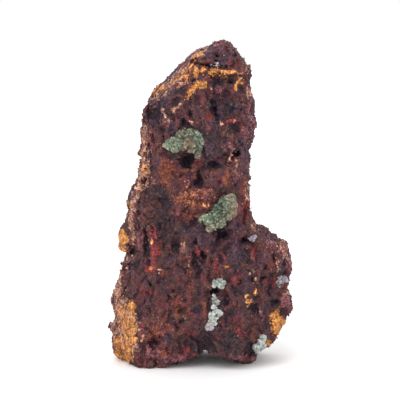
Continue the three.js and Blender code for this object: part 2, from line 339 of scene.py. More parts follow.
# Features of the front: place across and height, reach across and up, and how far they stand out
# (or, if negative, sink in). A turn in degrees and how steep the sides are follow where they
# aren't the usual ones.
SOFT, STEEP = 2, 4
USUAL = (0.0, 0.0, 1.0, 1.0, 1.0, 0.0, SOFT)
FRONT_RELIEF = [
    # the summit, its hollow and hole, the crack under it and the ledge
    (5.4, 78.8, 2.6, 1.3, -0.8), (1.8, 77.8, 1.6, 1.2, -0.9), (1.2, 76.8, 1.2, 0.8, -0.7, 32),
    (9.6, 75.2, 1.2, 1.8, -1.1), (12.2, 72.9, 0.7, 0.6, 0.5), (4.2, 73.8, 1.4, 0.9, -0.9),
    (8.0, 74.7, 0.45, 0.45, -1.8, 0, STEEP), (2.2, 72.2, 3.0, 0.4, -2.6, -6, STEEP),
    (5.0, 71.0, 4.6, 0.5, 1.2, -2), (5.0, 69.8, 4.0, 0.5, -0.7, -2), (12.6, 70.6, 0.9, 1.3, -1.0),
    (0.0, 70.6, 0.5, 1.0, -1.2), (3.6, 68.6, 1.6, 1.1, -0.8), (7.4, 68.6, 0.8, 0.5, -1.0),
    (9.7, 67.0, 0.5, 0.7, -1.2),
    # the slope at the upper left: a rounded rim, grooves inside it, and the vug under its end
    (-9.0, 69.0, 3.6, 1.0, -0.9, 43), (-0.8, 75.3, 1.4, 0.8, 0.8, 36), (-7.0, 69.0, 6.6, 0.7, 0.5, 42),
    (-3.5, 73.3, 0.5, 0.5, -1.2), (-9.4, 66.0, 3.2, 0.8, -0.5, 32), (-4.8, 66.2, 1.2, 0.7, -1.0),
    (-5.6, 63.8, 0.6, 1.0, -1.2), (-10.4, 61.0, 1.8, 2.5, -1.5), (-13.6, 60.8, 0.9, 2.6, 0.3),
    (-8.5, 60.6, 0.6, 1.9, 0.8, 20), (-5.6, 62.3, 2.2, 0.5, 0.6, 40), (-4.0, 58.4, 1.6, 1.4, -1.5),
    (-7.0, 57.0, 1.2, 1.8, -0.8, 10), (-5.8, 59.6, 0.5, 2.4, 0.5),
    (-2.3, 59.0, 0.35, 1.1, 0.8, 37, STEEP), (-2.3, 60.8, 0.4, 0.5, -1.0),
    # the recess and its slit, the arc of ridges under it, and the strip to its right
    (5.0, 63.0, 3.4, 4.2, -1.2), (3.4, 61.0, 0.6, 3.6, -1.8, 18), (7.7, 62.0, 1.3, 1.2, -1.2),
    (7.4, 59.4, 2.2, 0.6, 0.9, 8), (7.8, 57.3, 1.3, 1.2, -0.8), (13.6, 60.0, 1.0, 7.0, -0.8),
    (12.6, 51.4, 0.9, 2.6, -1.4), (12.4, 42.4, 0.8, 1.2, -0.9), (12.7, 54.9, 0.7, 0.55, 1.0, 0, STEEP),
    (12.6, 53.0, 1.0, 0.9, -0.8), (8.8, 51.2, 1.1, 0.9, -2.3, 0, STEEP), (7.4, 50.2, 0.35, 1.3, 0.6, -8),
    (8.6, 48.0, 0.3, 1.8, 0.6, 4),
    # under the upper crust: pits and grooves, and the smooth bulge at its left
    (0.9, 51.6, 0.35, 1.6, -1.0, 6), (-3.0, 49.7, 1.6, 1.4, -2.8, 10, STEEP),
    (3.2, 48.7, 2.6, 1.1, -1.6, 4), (-0.1, 45.4, 0.5, 1.9, -2.0, -3), (-1.2, 43.8, 0.9, 0.45, -1.4),
    (5.0, 44.5, 0.35, 0.9, -1.0), (6.4, 45.2, 0.8, 1.6, 0.5), (-8.3, 46.6, 1.9, 3.6, 0.4),
    # down the right edge: two knobs, the notch over the right lobe and the one in the foot
    (11.9, 45.4, 0.6, 0.6, 0.8, 0, STEEP), (12.8, 37.6, 0.8, 1.6, 0.7), (14.9, 33.9, 1.3, 1.0, -2.3),
    (14.8, 2.4, 1.1, 1.5, -1.4),
    # the strip down the left edge, its point and the nodule under it
    (-14.9, 50.0, 0.8, 1.4, 0.6), (-15.8, 44.4, 0.8, 1.4, 0.7, -10),
    (-12.8, 53.0, 0.8, 4.4, 0.4, -3), (-15.0, 55.0, 1.0, 2.4, -1.4), (-12.7, 50.5, 0.2, 1.1, -0.9),
    (-14.9, 42.2, 0.8, 3.0, 0.6, -14), (-16.3, 35.4, 0.6, 4.0, 0.6, -4),
    (-17.0, 42.0, 1.1, 3.2, 0.6, -30), (-17.8, 39.4, 0.8, 0.8, 0.7), (-18.8, 28.2, 0.9, 1.2, 0.8),
    (-18.2, 37.2, 1.0, 1.1, -0.9), (-18.6, 31.0, 1.0, 3.2, 0.5),
    # the concave left middle and the folds beside it
    (-10.0, 38.6, 3.6, 4.8, -1.5), (-9.2, 40.2, 1.0, 1.0, -0.8), (-9.8, 33.4, 0.8, 2.2, -0.9),
    (1.0, 42.0, 2.6, 0.4, 0.5), (1.2, 40.0, 1.6, 0.25, -0.8), (0.8, 38.8, 1.4, 0.3, 0.5),
    (3.6, 39.6, 0.4, 1.8, -1.0, -38),
    # the ridge down the middle, with hollows on both sides
    (-3.5, 28.6, 1.2, 3.2, 0.9), (-4.5, 32.6, 0.6, 2.2, 0.5), (-5.6, 30.2, 0.7, 2.4, -0.9),
    (-1.2, 29.6, 0.8, 1.1, -1.3), (-1.4, 26.6, 0.4, 2.2, -0.8), (-0.8, 22.6, 0.45, 1.5, -1.2),
    # the red streak at the left
    (-12.9, 29.0, 0.45, 2.6, -1.6), (-10.8, 28.6, 0.9, 3.6, 0.7), (-12.5, 24.9, 0.5, 0.7, -1.5),
    (-9.2, 22.2, 1.1, 1.0, 0.5), (-15.8, 27.8, 0.9, 1.2, -0.9), (-16.0, 24.4, 1.4, 0.9, -0.7),
    (-12.2, 19.9, 0.6, 0.8, -1.3),
    # right of the middle: the hollow under the crust, a ringed vug and the red vein
    (5.4, 32.0, 1.9, 1.4, -1.5), (-0.9, 34.4, 1.0, 1.0, -1.3), (0.6, 26.6, 0.8, 1.3, -1.8),
    (-0.6, 27.7, 0.4, 1.2, 0.6), (1.8, 27.9, 0.4, 1.0, 0.6), (4.8, 26.0, 0.5, 1.4, -1.2),
    (3.7, 24.7, 0.5, 2.0, 0.5), (11.3, 30.2, 1.1, 0.8, -2.2), (10.8, 26.4, 2.0, 2.2, -0.9),
    # nodules and seams of the right lobe
    (15.4, 28.0, 1.5, 2.2, 0.9), (18.1, 29.0, 1.2, 1.5, 0.7), (20.2, 29.2, 0.9, 1.8, 0.6),
    (17.7, 26.4, 0.35, 1.6, -1.1), (18.6, 24.2, 0.7, 2.2, 0.8), (20.0, 24.0, 0.6, 1.8, -0.6),
    (21.5, 24.2, 0.8, 1.2, 0.7), (20.1, 22.2, 1.0, 0.5, -1.1), (22.0, 21.6, 1.2, 0.7, -1.0),
    (20.6, 15.8, 1.6, 1.4, 0.7), (21.8, 13.6, 0.9, 1.3, 1.0), (21.8, 17.3, 0.9, 0.4, -0.9),
    (18.1, 15.4, 1.0, 0.7, -1.2),
    # knobs and pits from under the bead to the right lobe
    (8.6, 21.3, 1.1, 1.4, 0.7), (8.2, 18.7, 0.9, 0.8, -0.8), (10.9, 21.0, 0.9, 1.2, 0.6),
    (11.3, 18.2, 0.6, 0.7, 0.6), (14.9, 20.8, 0.4, 1.9, -1.0), (12.5, 20.9, 0.7, 0.8, -1.0),
    (13.1, 16.4, 0.45, 0.45, -1.3), (11.4, 16.8, 0.6, 0.4, 0.5, 30), (13.4, 17.7, 0.45, 0.6, 0.5),
    (11.6, 15.5, 0.9, 0.6, 0.4), (3.4, 18.1, 1.2, 0.6, -2.0, 0, STEEP), (6.5, 15.2, 0.9, 0.45, -1.7, -10),
    # low on the right
    (18.4, 10.5, 1.2, 2.6, 0.7, -4), (14.8, 12.2, 0.6, 1.8, 0.7), (13.2, 13.8, 0.8, 0.8, -1.2),
    (16.2, 9.4, 0.7, 3.0, -0.6), (7.0, 4.2, 0.7, 1.0, -0.7), (12.6, 3.4, 1.1, 1.7, -0.9),
    # low in the middle
    (-1.0, 13.2, 1.1, 1.0, -1.3), (0.9, 13.9, 0.5, 1.4, 0.6, -12), (-4.7, 10.6, 0.5, 0.6, -1.6, 0, STEEP),
    (0.6, 5.0, 2.6, 2.8, -1.5), (-3.6, 3.4, 1.6, 1.6, 0.7),
    # low on the left
    (-11.2, 5.4, 0.9, 0.6, -1.4, -15), (-8.3, 2.3, 1.0, 1.0, 0.8), (-17.4, 9.0, 2.4, 7.5, 0.6, 4),
    (-14.6, 12.6, 0.5, 2.2, -0.9), (-21.4, 16.4, 0.9, 0.9, 0.6), (-21.9, 9.6, 0.9, 0.8, 0.8),
    (-20.4, 4.0, 0.9, 0.9, 0.6), (-21.4, 11.8, 0.8, 0.8, -0.6), (-20.2, 7.7, 0.7, 0.9, -0.9),
]
# Where the rock is smooth, where it is streaked along the slope, where veins cross it, and where
# its streaks are nearly upright.
GRAIN_PATCHES = {
    "calm": [
        (-8.4, 46.6, 2.0, 3.8), (3.4, 52.0, 2.0, 2.4), (-18.5, 31.0, 1.4, 3.6), (6.0, 4.5, 4.6, 3.0),
        (-10.6, 60.8, 2.1, 2.8), (-17.2, 9.0, 2.2, 6.4, 0.8, 4), (-9.6, 38.6, 3.2, 4.4, 0.9),
    ],
    "slope": [
        (-6.8, 69.6, 8.6, 2.4, 1.0, 42),
    ],
    "veined": [
        (8.4, 49.2, 1.4, 4.0, 0.7), (-1.6, 40.4, 4.6, 2.0), (-13.3, 52.0, 1.0, 6.0),
        (-6.8, 68.4, 7.2, 2.0, 1.0, 42), (-3.6, 27.6, 1.2, 3.0, 0.7), (17.6, 28.8, 2.6, 2.2, 0.5),
        (-17.4, 8.0, 2.4, 6.0, 0.8), (11.4, 60.0, 0.9, 5.0, 0.5),
    ],
    "strip": [
        (-14.4, 44.0, 2.0, 15.0, 1.0, -6), (-18.0, 10.0, 3.4, 9.0, 1.0, 2), (18.4, 27.0, 2.6, 5.0),
    ],
}
SLOPE_TURN, STRIP_TURN = -48, -8  # the turns that bring the streaks upright

# Colours of the front: place across and height, reach across and up, and then strength and turn
# where they aren't the usual ones.
COLOUR_PATCHES = {
    # Umber, laid mostly in the recesses, vugs, the crack and under the crusts: painted shade there.
    "umber_and_shade": [
        (5.4, 62.4, 2.8, 3.6, 0.6), (7.8, 62.0, 1.3, 1.2, 0.9), (4.0, 73.8, 1.4, 0.9, 0.8),
        (3.6, 68.4, 1.6, 1.2, 0.8), (7.4, 68.6, 0.9, 0.6, 0.9), (-4.9, 66.0, 1.2, 0.8, 0.8),
        (-5.6, 63.8, 0.6, 1.1, 0.9), (-10.8, 60.9, 2.3, 3.0), (-4.0, 58.4, 1.5, 1.3),
        (-9.0, 54.6, 0.5, 0.7, 0.7), (7.8, 57.3, 1.3, 1.2, 0.7), (8.9, 51.2, 1.1, 0.9),
        (0.9, 51.6, 0.4, 1.6, 0.9, 6), (3.4, 48.7, 2.4, 1.1, 0.9), (-3.0, 49.8, 1.8, 1.6),
        (-0.2, 45.3, 0.7, 1.8, 0.9), (-1.2, 43.9, 0.9, 0.6, 0.9), (-10.0, 39.4, 3.4, 3.8, 0.9),
        (-8.0, 34.0, 2.4, 3.0, 0.7), (-12.9, 29.4, 0.5, 2.8, 0.8), (5.4, 32.2, 1.9, 1.5),
        (-0.9, 34.6, 1.2, 1.2, 0.9), (11.3, 30.1, 1.2, 0.8), (10.4, 26.6, 2.3, 2.2, 0.9),
        (-5.6, 29.4, 0.8, 3.0, 0.7), (-1.2, 29.2, 0.8, 1.3, 0.9), (-1.3, 25.0, 0.5, 3.6, 0.6),
        (0.7, 26.4, 0.9, 1.3, 0.9), (4.8, 25.8, 0.5, 1.6, 0.8), (-15.9, 27.6, 0.9, 1.3, 0.8),
        (-15.8, 24.2, 1.5, 1.0, 0.7), (-12.2, 19.9, 0.7, 1.0, 0.8), (3.3, 18.1, 1.3, 0.8),
        (6.5, 15.2, 1.0, 0.5), (8.0, 13.0, 1.2, 1.4, 0.6), (-4.7, 10.6, 0.5, 0.5, 0.9),
        (-11.2, 5.4, 0.8, 0.6, 0.8, -10), (0.8, 4.8, 2.8, 2.8, 0.9), (8.0, 5.4, 3.6, 3.2, 0.7),
        (12.6, 3.6, 1.2, 2.0), (13.0, 13.6, 1.2, 1.0, 0.9), (18.1, 15.4, 1.1, 0.8, 0.9),
        (20.0, 22.2, 1.0, 0.6, 0.9), (14.9, 21.4, 0.5, 2.0, 0.8), (8.2, 18.6, 1.0, 0.9, 0.8),
        (12.5, 20.9, 0.8, 0.8, 0.8), (13.1, 16.4, 0.5, 0.5), (2.6, 8.0, 1.4, 0.8, 0.9),
        (-9.2, 18.4, 1.2, 1.6, 0.4), (-16.9, 41.4, 0.7, 2.2, 0.7, -30), (12.0, 50.6, 1.0, 1.8, 0.6),
        (2.8, 55.4, 1.8, 2.4, 0.8), (-5.6, 41.8, 1.1, 2.0, 0.5), (-3.0, 33.2, 2.0, 1.6, 0.7),
        (11.8, 18.8, 2.4, 2.2, 0.6), (2.8, 72.3, 3.4, 0.35, 1.0, -5), (3.8, 14.6, 2.0, 2.0, 0.8),
        (0.2, 33.6, 1.8, 1.8, 0.8), (3.0, 52.2, 2.4, 1.8, 0.9), (-0.4, 57.4, 2.0, 1.8, 0.8),
        (-8.6, 60.4, 2.4, 1.6, 0.9), (-10.8, 37.4, 2.8, 3.0, 0.8), (5.8, 54.4, 1.8, 1.2, 0.7),
        (-6.2, 56.2, 1.4, 1.2, 0.9), (1.8, 31.2, 1.6, 1.2, 0.6), (8.6, 24.2, 1.4, 1.8, 0.6),
        (-6.8, 50.6, 1.6, 1.0, 0.7), (10.6, 17.4, 1.2, 1.0, 0.7), (-3.8, 26.8, 1.2, 1.4, 0.4),
        (-7.8, 31.4, 1.4, 1.6, 0.8), (9.0, 27.6, 1.8, 2.4, 0.6), (-8.4, 26.6, 1.0, 2.4, 0.4),
    ],
    "plum": [
        (4.0, 75.0, 3.6, 2.0, 0.8), (-9.2, 64.6, 3.2, 1.5, 0.8, 32), (-3.4, 74.2, 3.2, 0.5, 0.8, 42),
        (-4.4, 72.0, 4.4, 1.0, 1.0, 43), (-11.5, 60.8, 2.4, 2.8, 0.5), (-7.0, 57.4, 1.2, 1.9, 0.9, 10),
        (-4.4, 59.4, 1.4, 1.2, 0.6), (4.2, 63.2, 1.8, 3.8, 0.6, 8), (9.4, 61.6, 1.6, 2.2, 0.5),
        (9.8, 52.2, 1.4, 3.4, 0.8), (2.9, 49.4, 2.8, 1.6, 0.6), (1.9, 52.6, 1.1, 2.2, 0.7),
        (-12.2, 38.6, 2.4, 4.0, 0.3), (-14.6, 38.4, 0.8, 1.2, 0.8), (-16.4, 41.6, 0.7, 2.6, 0.8, -30),
        (9.2, 43.4, 1.1, 1.1, 0.5), (0.2, 32.4, 3.6, 1.8, 0.5), (9.0, 28.0, 2.6, 3.0, 0.6),
        (15.0, 25.2, 1.6, 2.4, 0.6), (20.0, 24.0, 0.8, 2.0, 0.9), (16.6, 31.4, 2.6, 0.6, 0.6, -14),
        (-17.0, 24.2, 1.4, 1.6, 0.6), (-1.2, 13.2, 1.2, 1.0), (-14.8, 12.2, 0.5, 1.8, 0.9),
        (15.8, 14.2, 0.7, 3.4, 0.6), (16.6, 8.8, 0.7, 1.8, 0.8), (-8.0, 6.2, 1.6, 1.2, 0.7),
        (11.0, 20.0, 0.9, 2.6, 0.6), (-10.0, 21.0, 1.4, 1.4, 0.4), (-16.2, 17.6, 1.8, 0.8, 0.5),
        (12.6, 62.4, 0.8, 2.8, 0.6), (18.6, 17.0, 1.2, 2.4, 0.35), (5.6, 34.8, 3.0, 1.2, 0.6),
        (-12.8, 27.6, 1.0, 2.8, 0.4), (5.6, 14.6, 0.8, 2.4, 0.6), (2.4, 29.2, 3.6, 2.6, 0.5),
        (6.4, 24.6, 2.8, 2.0, 0.4), (8.4, 33.2, 2.2, 1.8, 0.6), (-6.6, 25.6, 2.0, 1.5, 0.5),
        (3.0, 9.0, 3.8, 1.8, 0.5), (2.6, 57.8, 2.0, 1.4, 0.6), (12.4, 56.0, 1.0, 8.0, 0.8),
        (11.4, 44.0, 1.0, 5.0, 0.7), (-8.0, 63.0, 1.6, 1.0, 0.7, 30), (1.2, 30.4, 1.8, 1.2, 0.6),
        (9.8, 49.4, 0.8, 2.0, 0.6),
    ],
    "rust": [
        (-8.2, 46.6, 1.5, 3.0), (-1.6, 40.2, 4.6, 2.4, 0.7), (0.8, 42.0, 2.6, 0.9, 0.8),
        (6.3, 45.6, 0.8, 1.8, 0.9), (6.2, 49.2, 0.4, 1.2, 0.7), (10.9, 43.5, 0.9, 2.2, 0.7),
        (-8.4, 2.6, 1.4, 1.1, 0.9), (-2.5, 23.0, 0.5, 1.1, 0.9), (0.9, 13.9, 0.5, 1.4, 1.0, -15),
        (-3.0, 41.4, 1.2, 2.4, 0.6), (13.2, 26.0, 0.4, 0.8, 0.6), (-12.4, 10.0, 0.6, 0.9, 0.6),
        (-9.0, 10.6, 2.6, 1.0, 0.4), (10.6, 24.0, 2.0, 1.0, 0.35), (-8.7, 22.0, 1.0, 0.9, 0.7),
        (-3.0, 12.8, 1.6, 1.2, 0.4), (9.4, 12.6, 0.4, 1.2, 0.6), (-3.0, 71.4, 1.9, 1.2, 0.8, 45),
        (-5.8, 59.6, 0.4, 2.2, 0.5), (-3.6, 64.6, 0.8, 1.2, 0.5), (-2.8, 19.0, 1.0, 3.6, 0.4),
        (-11.0, 38.0, 3.0, 4.2, 0.4), (-4.8, 13.8, 2.0, 1.8, 0.9), (-11.2, 7.4, 2.0, 1.8, 0.9),
        (-4.4, 45.8, 2.6, 2.0, 0.55), (-3.8, 36.8, 3.2, 1.4, 0.7), (-1.6, 46.8, 1.4, 1.4, 0.6),
        (11.2, 41.2, 1.4, 2.6, 0.7),
    ],
    "rose": [
        # The first five patches, along the foot and on the summit, lighten the rock where it lies in
        # shade: painted light.
        (-12.4, 3.4, 3.0, 1.6, 0.5), (5.0, 77.0, 3.4, 1.5, 0.5), (-6.0, 1.5, 6.5, 1.1, 0.6),
        (10.5, 1.6, 3.6, 1.0, 0.6), (-2.2, 75.0, 1.8, 0.7, 0.6, 40), (-13.4, 61.2, 0.5, 1.8, 0.6),
        (9.6, 37.6, 1.2, 1.6, 0.5), (-16.2, 26.4, 1.0, 1.2, 0.4), (10.9, 56.3, 1.1, 1.8, 0.55),
        (12.3, 58.6, 0.7, 1.2, 0.8), (11.8, 61.8, 0.6, 2.4, 0.6), (1.0, 60.0, 1.8, 2.8, 0.35),
        (-8.6, 58.6, 0.8, 1.6, 0.6, 10), (-11.4, 55.4, 1.0, 3.0, 0.45), (-11.6, 45.8, 1.4, 2.2, 0.4),
        (1.4, 41.2, 1.2, 0.9, 0.6), (20.2, 27.2, 1.2, 2.2, 0.6), (-3.6, 28.6, 0.9, 2.4, 0.4),
        (7.0, 53.6, 1.6, 1.8, 0.5), (15.8, 30.8, 1.6, 0.6, 0.4, -12), (21.4, 23.8, 0.7, 1.2, 0.8),
        (20.6, 15.8, 1.4, 1.4, 0.8), (-14.8, 31.0, 0.8, 2.4, 0.5), (-9.0, 8.6, 2.6, 1.6, 0.4),
        (8.6, 45.6, 1.4, 2.6, 0.5), (14.8, 12.2, 0.5, 1.6, 0.6), (-2.4, 45.6, 1.4, 1.6, 0.5),
        (4.6, 66.2, 1.8, 1.2, 0.5), (-19.8, 19.0, 0.8, 2.4, 0.7), (12.8, 57.0, 0.6, 2.6, 0.8),
        (1.6, 69.4, 0.8, 0.7, 0.5), (-6.8, 67.0, 1.6, 0.7, 0.5, 36), (10.2, 70.6, 0.8, 0.4, 0.7),
        (17.0, 28.6, 0.9, 2.2, 0.4), (-5.2, 36.8, 1.2, 1.4, 0.5), (11.6, 42.0, 1.0, 2.4, 0.8),
        (11.8, 48.0, 0.7, 2.4, 0.6), (10.4, 63.6, 0.8, 1.6, 0.4),
    ],
    "red": [
        (-10.8, 28.4, 0.9, 3.0, 0.9), (-11.3, 32.6, 0.7, 1.2, 0.8), (-12.4, 23.3, 1.2, 0.6, 1.0, -35),
        (-11.2, 24.9, 0.5, 1.2, 0.8), (7.4, 59.3, 1.3, 0.6, 0.9, 8), (2.3, 60.2, 0.5, 0.6, 0.8),
        (-0.6, 27.7, 0.5, 1.1, 0.8), (1.6, 28.1, 0.5, 0.8, 0.7), (3.7, 24.8, 0.5, 2.0),
        (20.2, 19.6, 0.9, 0.8), (17.3, 20.2, 1.2, 1.2, 0.8), (9.6, 8.2, 1.4, 2.2, 0.5),
        (8.7, 21.2, 1.1, 1.5, 0.5), (6.7, 19.0, 0.5, 1.2, 0.6, 25), (13.0, 27.8, 0.5, 1.0, 0.7),
        (8.3, 11.2, 0.9, 1.0, 0.6), (-5.4, 16.2, 0.3, 1.2, 0.7), (-3.5, 3.4, 1.3, 1.4, 0.6),
        (-12.2, 17.6, 1.6, 0.8, 0.6), (-9.8, 6.6, 0.8, 0.4, 0.7), (-14.2, 9.6, 0.7, 4.0, 0.5, 4),
        (10.6, 38.0, 1.4, 3.0, 0.6), (-0.4, 49.2, 0.7, 0.7, 0.7), (4.8, 45.4, 0.6, 1.4, 0.6),
        (-2.4, 17.6, 0.6, 2.2, 0.4), (2.0, 57.4, 1.0, 0.8, 0.4),
    ],
    "tan": [
        # The second patch, on the summit's left edge, lightens it as if lit from above: painted light.
        (-6.2, 68.6, 6.6, 0.9, 1.0, 42), (0.2, 75.2, 2.0, 0.8, 0.8, 40), (-4.4, 67.6, 2.2, 0.8, 0.55, 42),
        (-12.5, 48.8, 0.7, 3.4, 0.6), (11.5, 66.6, 0.7, 1.1, 0.9), (-13.2, 54.6, 0.6, 3.4, 0.5, -3),
        (-13.3, 50.5, 0.6, 2.0, 0.7), (-13.6, 45.6, 1.4, 3.0, 1.0, -8), (-14.9, 41.6, 0.8, 3.0, 0.7, -14),
        (-16.4, 35.6, 0.7, 3.8, 0.9, -2), (-17.4, 8.2, 2.0, 5.4, 1.0, 3), (-16.4, 30.2, 0.7, 3.0, 0.45),
        (-8.4, 60.6, 0.5, 1.6, 0.7, 20), (-5.2, 62.3, 2.4, 0.4, 0.7, 40), (-13.3, 57.8, 0.7, 0.8, 0.6),
        (7.3, 50.3, 0.3, 1.4, 0.6, -8), (8.6, 48.0, 0.25, 1.9, 0.6, 4), (8.4, 52.4, 0.4, 0.8, 0.6, -25),
        (-19.2, 14.0, 1.3, 5.0, 1.0, 2), (-20.0, 17.4, 1.0, 2.0, 0.8), (-17.8, 26.6, 0.7, 3.2, 0.6),
        (11.4, 72.4, 0.7, 1.6, 0.5), (11.6, 42.0, 0.8, 2.6, 0.75), (-19.8, 9.0, 1.5, 4.2, 0.7),
        (-14.8, 10.5, 0.8, 0.4, 0.8), (-13.9, 6.8, 0.2, 1.0, 0.9), (-19.4, 19.8, 0.8, 3.4, 0.7),
        (20.9, 26.4, 0.6, 1.8, 0.6), (19.9, 28.9, 0.5, 1.6, 0.6, -15), (13.0, 33.3, 0.6, 1.0, 0.6),
        (18.6, 24.2, 0.4, 2.0, 0.5), (-0.2, 42.2, 0.8, 0.4, 0.6), (12.6, 22.7, 0.7, 0.4, 0.7),
    ],
    "ochre": [
        (13.4, 17.7, 0.4, 0.6, 0.8), (-10.0, 66.3, 2.8, 0.6, 0.45, 36), (-3.8, 70.2, 3.2, 0.6, 0.5, 43),
        (-1.0, 70.7, 0.8, 1.0, 0.9), (-1.5, 72.7, 1.0, 0.6, 0.6, 30), (-0.6, 74.2, 2.0, 0.4, 0.5, 42),
        (-2.0, 66.0, 2.0, 0.6, 1.0, 42), (0.2, 67.6, 1.5, 0.9), (1.1, 71.2, 0.6, 0.9, 0.8),
        (5.0, 70.9, 4.6, 0.42, 1.0, -2), (4.6, 69.9, 3.0, 0.5, 0.4, -2), (9.2, 68.4, 0.8, 0.7),
        (8.5, 67.0, 0.5, 1.3, 0.9), (-12.8, 47.7, 0.8, 1.2, 0.7, -10), (-16.9, 38.7, 0.6, 0.8, 0.8),
        (-18.6, 31.0, 0.9, 3.5, 0.55), (-16.5, 13.8, 0.8, 1.8, 0.7, -8), (-17.0, 7.8, 1.6, 3.4, 0.8, 4),
        (-17.9, 3.8, 1.5, 1.9), (-18.4, 12.0, 1.4, 3.6, 0.55), (-19.8, 4.8, 1.0, 2.2, 0.6),
        (-15.6, 11.0, 0.7, 1.8, 0.4), (-3.2, 69.0, 1.8, 0.8, 0.5, 42), (-18.2, 2.2, 1.8, 1.8),
        (19.3, 9.4, 1.1, 2.8), (18.5, 10.6, 1.3, 2.8, 1.0, -4), (16.6, 5.2, 0.8, 0.7, 0.9),
        (11.6, 15.5, 0.9, 0.6, 0.7), (6.2, 23.8, 0.5, 0.6, 0.8),
    ],
    # Bright pink specks where tiny crystals glint: painted highlights.
    "blush_glint": [
        (5.5, 58.4, 0.5, 0.45), (-8.2, 60.3, 0.3, 0.5, 0.9, 20), (11.6, 65.2, 0.3, 0.6),
        (-13.3, 52.4, 0.3, 0.45, 0.9), (-11.7, 52.3, 0.4, 0.3, 0.8), (-3.3, 43.7, 0.2, 0.55, 0.9),
        (-3.3, 41.7, 0.2, 0.6, 0.9), (-3.6, 45.9, 0.3, 0.3, 0.8), (-1.9, 46.7, 0.25, 0.45, 0.8),
        (-3.4, 29.2, 0.35, 0.7, 0.9, -12), (-4.4, 29.0, 0.2, 0.7, 0.8), (-2.9, 24.4, 0.35, 0.25, 0.8),
        (-15.4, 42.8, 0.4, 0.5, 0.8), (-14.7, 40.6, 0.3, 0.5, 0.8), (-16.4, 36.6, 0.25, 0.7, 0.9),
        (8.4, 59.2, 0.3, 0.3, 0.9), (-17.4, 19.8, 0.3, 0.3, 0.9), (13.4, 21.0, 0.22, 0.6, 1.0, -8),
        (7.3, 49.7, 0.3, 0.3, 0.8), (-2.1, 58.8, 0.25, 0.7, 0.8, 37), (-9.8, 22.8, 0.3, 0.25),
        (8.4, 7.0, 0.5, 0.25, 0.7), (2.8, 66.7, 0.5, 0.25, 0.8, -35), (20.9, 17.3, 0.5, 0.3, 0.7),
    ],
    "slate": [
        (2.3, 63.2, 0.25, 1.0, 0.8), (3.7, 59.0, 0.35, 1.6, 0.9, 18), (9.0, 51.8, 0.9, 0.6, 0.5),
        (7.8, 62.4, 0.9, 0.9, 0.5), (-4.6, 58.8, 0.9, 0.8, 0.5), (-12.6, 60.4, 0.6, 1.2, 0.4),
        (-13.1, 34.0, 0.3, 0.6, 0.9), (-1.4, 43.8, 0.6, 0.3, 0.8), (5.6, 32.6, 0.9, 0.6, 0.5),
        (20.0, 22.3, 0.7, 0.4, 0.7), (-1.4, 3.2, 0.8, 0.6, 0.6), (-12.2, 20.0, 0.5, 0.6, 0.7),
        (2.9, 45.2, 0.8, 0.6, 0.5), (10.8, 21.4, 0.6, 0.9, 0.5),
    ],
    # Bright golden specks where tiny crystals glint: painted highlights.
    "gold_glint": [
        (-10.7, 31.5, 0.3, 0.5, 0.9, 20), (-11.3, 30.4, 0.35, 0.45), (-11.8, 23.5, 0.35, 0.5),
        (0.9, 38.8, 0.35, 0.25), (1.7, 38.9, 0.3, 0.25), (6.7, 23.6, 0.3, 0.35, 1.0, -30),
        (11.5, 17.0, 0.5, 0.3, 0.9, 35), (13.4, 17.8, 0.3, 0.4, 0.9), (11.9, 15.4, 0.5, 0.35, 0.6),
        (-16.5, 14.7, 0.3, 0.6, 0.7, -15), (-1.5, 39.2, 0.3, 0.4, 0.8), (-2.5, 39.9, 0.35, 0.35, 0.8),
        (-12.9, 48.4, 0.4, 0.4, 0.8), (-11.9, 46.3, 0.3, 0.4, 0.8), (0.3, 68.0, 0.4, 0.3, 0.7),
        (6.0, 71.0, 2.6, 0.15, 0.9, -2), (-0.6, 71.4, 0.6, 0.3, 0.6), (18.6, 9.2, 0.6, 0.5, 0.7),
        (17.9, 12.9, 0.3, 0.5, 0.7), (-17.0, 7.2, 0.5, 0.4, 0.7), (-16.9, 3.3, 0.4, 0.5, 0.7),
        (6.3, 46.6, 0.3, 0.5, 0.6),
    ],
}


def place(x, z, wobble, feature):
    """How far points are from a feature's middle, as a share of its reach, unevenly.

    The feature's strength and steepness come with it.
    """
    at_x, at_z, reach_x, reach_z, strength, turn, steep = feature + USUAL[len(feature):]
    angle = math.radians(turn)
    across = (x - at_x) * math.cos(angle) + (z - at_z) * math.sin(angle)
    up = -(x - at_x) * math.sin(angle) + (z - at_z) * math.cos(angle)
    return np.maximum(np.hypot(across / reach_x, up / reach_z) + wobble, 0), strength, steep


PATCH_EDGE = (1.5, 0.6)  # the shares of its reach at which a patch begins and is full


def coverage(x, z, wobble, patches):
    """From 0 to 1, how much the patches cover points of the front."""
    total = np.zeros(np.broadcast(x, z).shape, np.float32)
    for patch in patches:
        away, strength, _ = place(x, z, wobble, patch)
        total = np.maximum(total, strength * smoothstep(*PATCH_EDGE, away))
    return total


def laid_out(points):
    """Where points lie on the sheet that the front's features are laid out on: across and up."""
    across, y, up = (points / SCALE).T
    share = -FAN_FROM[0] / (y - FAN_FROM[0])
    return across * share, FAN_FROM[1] + (up - FAN_FROM[1]) * share + SHEET_LIFT


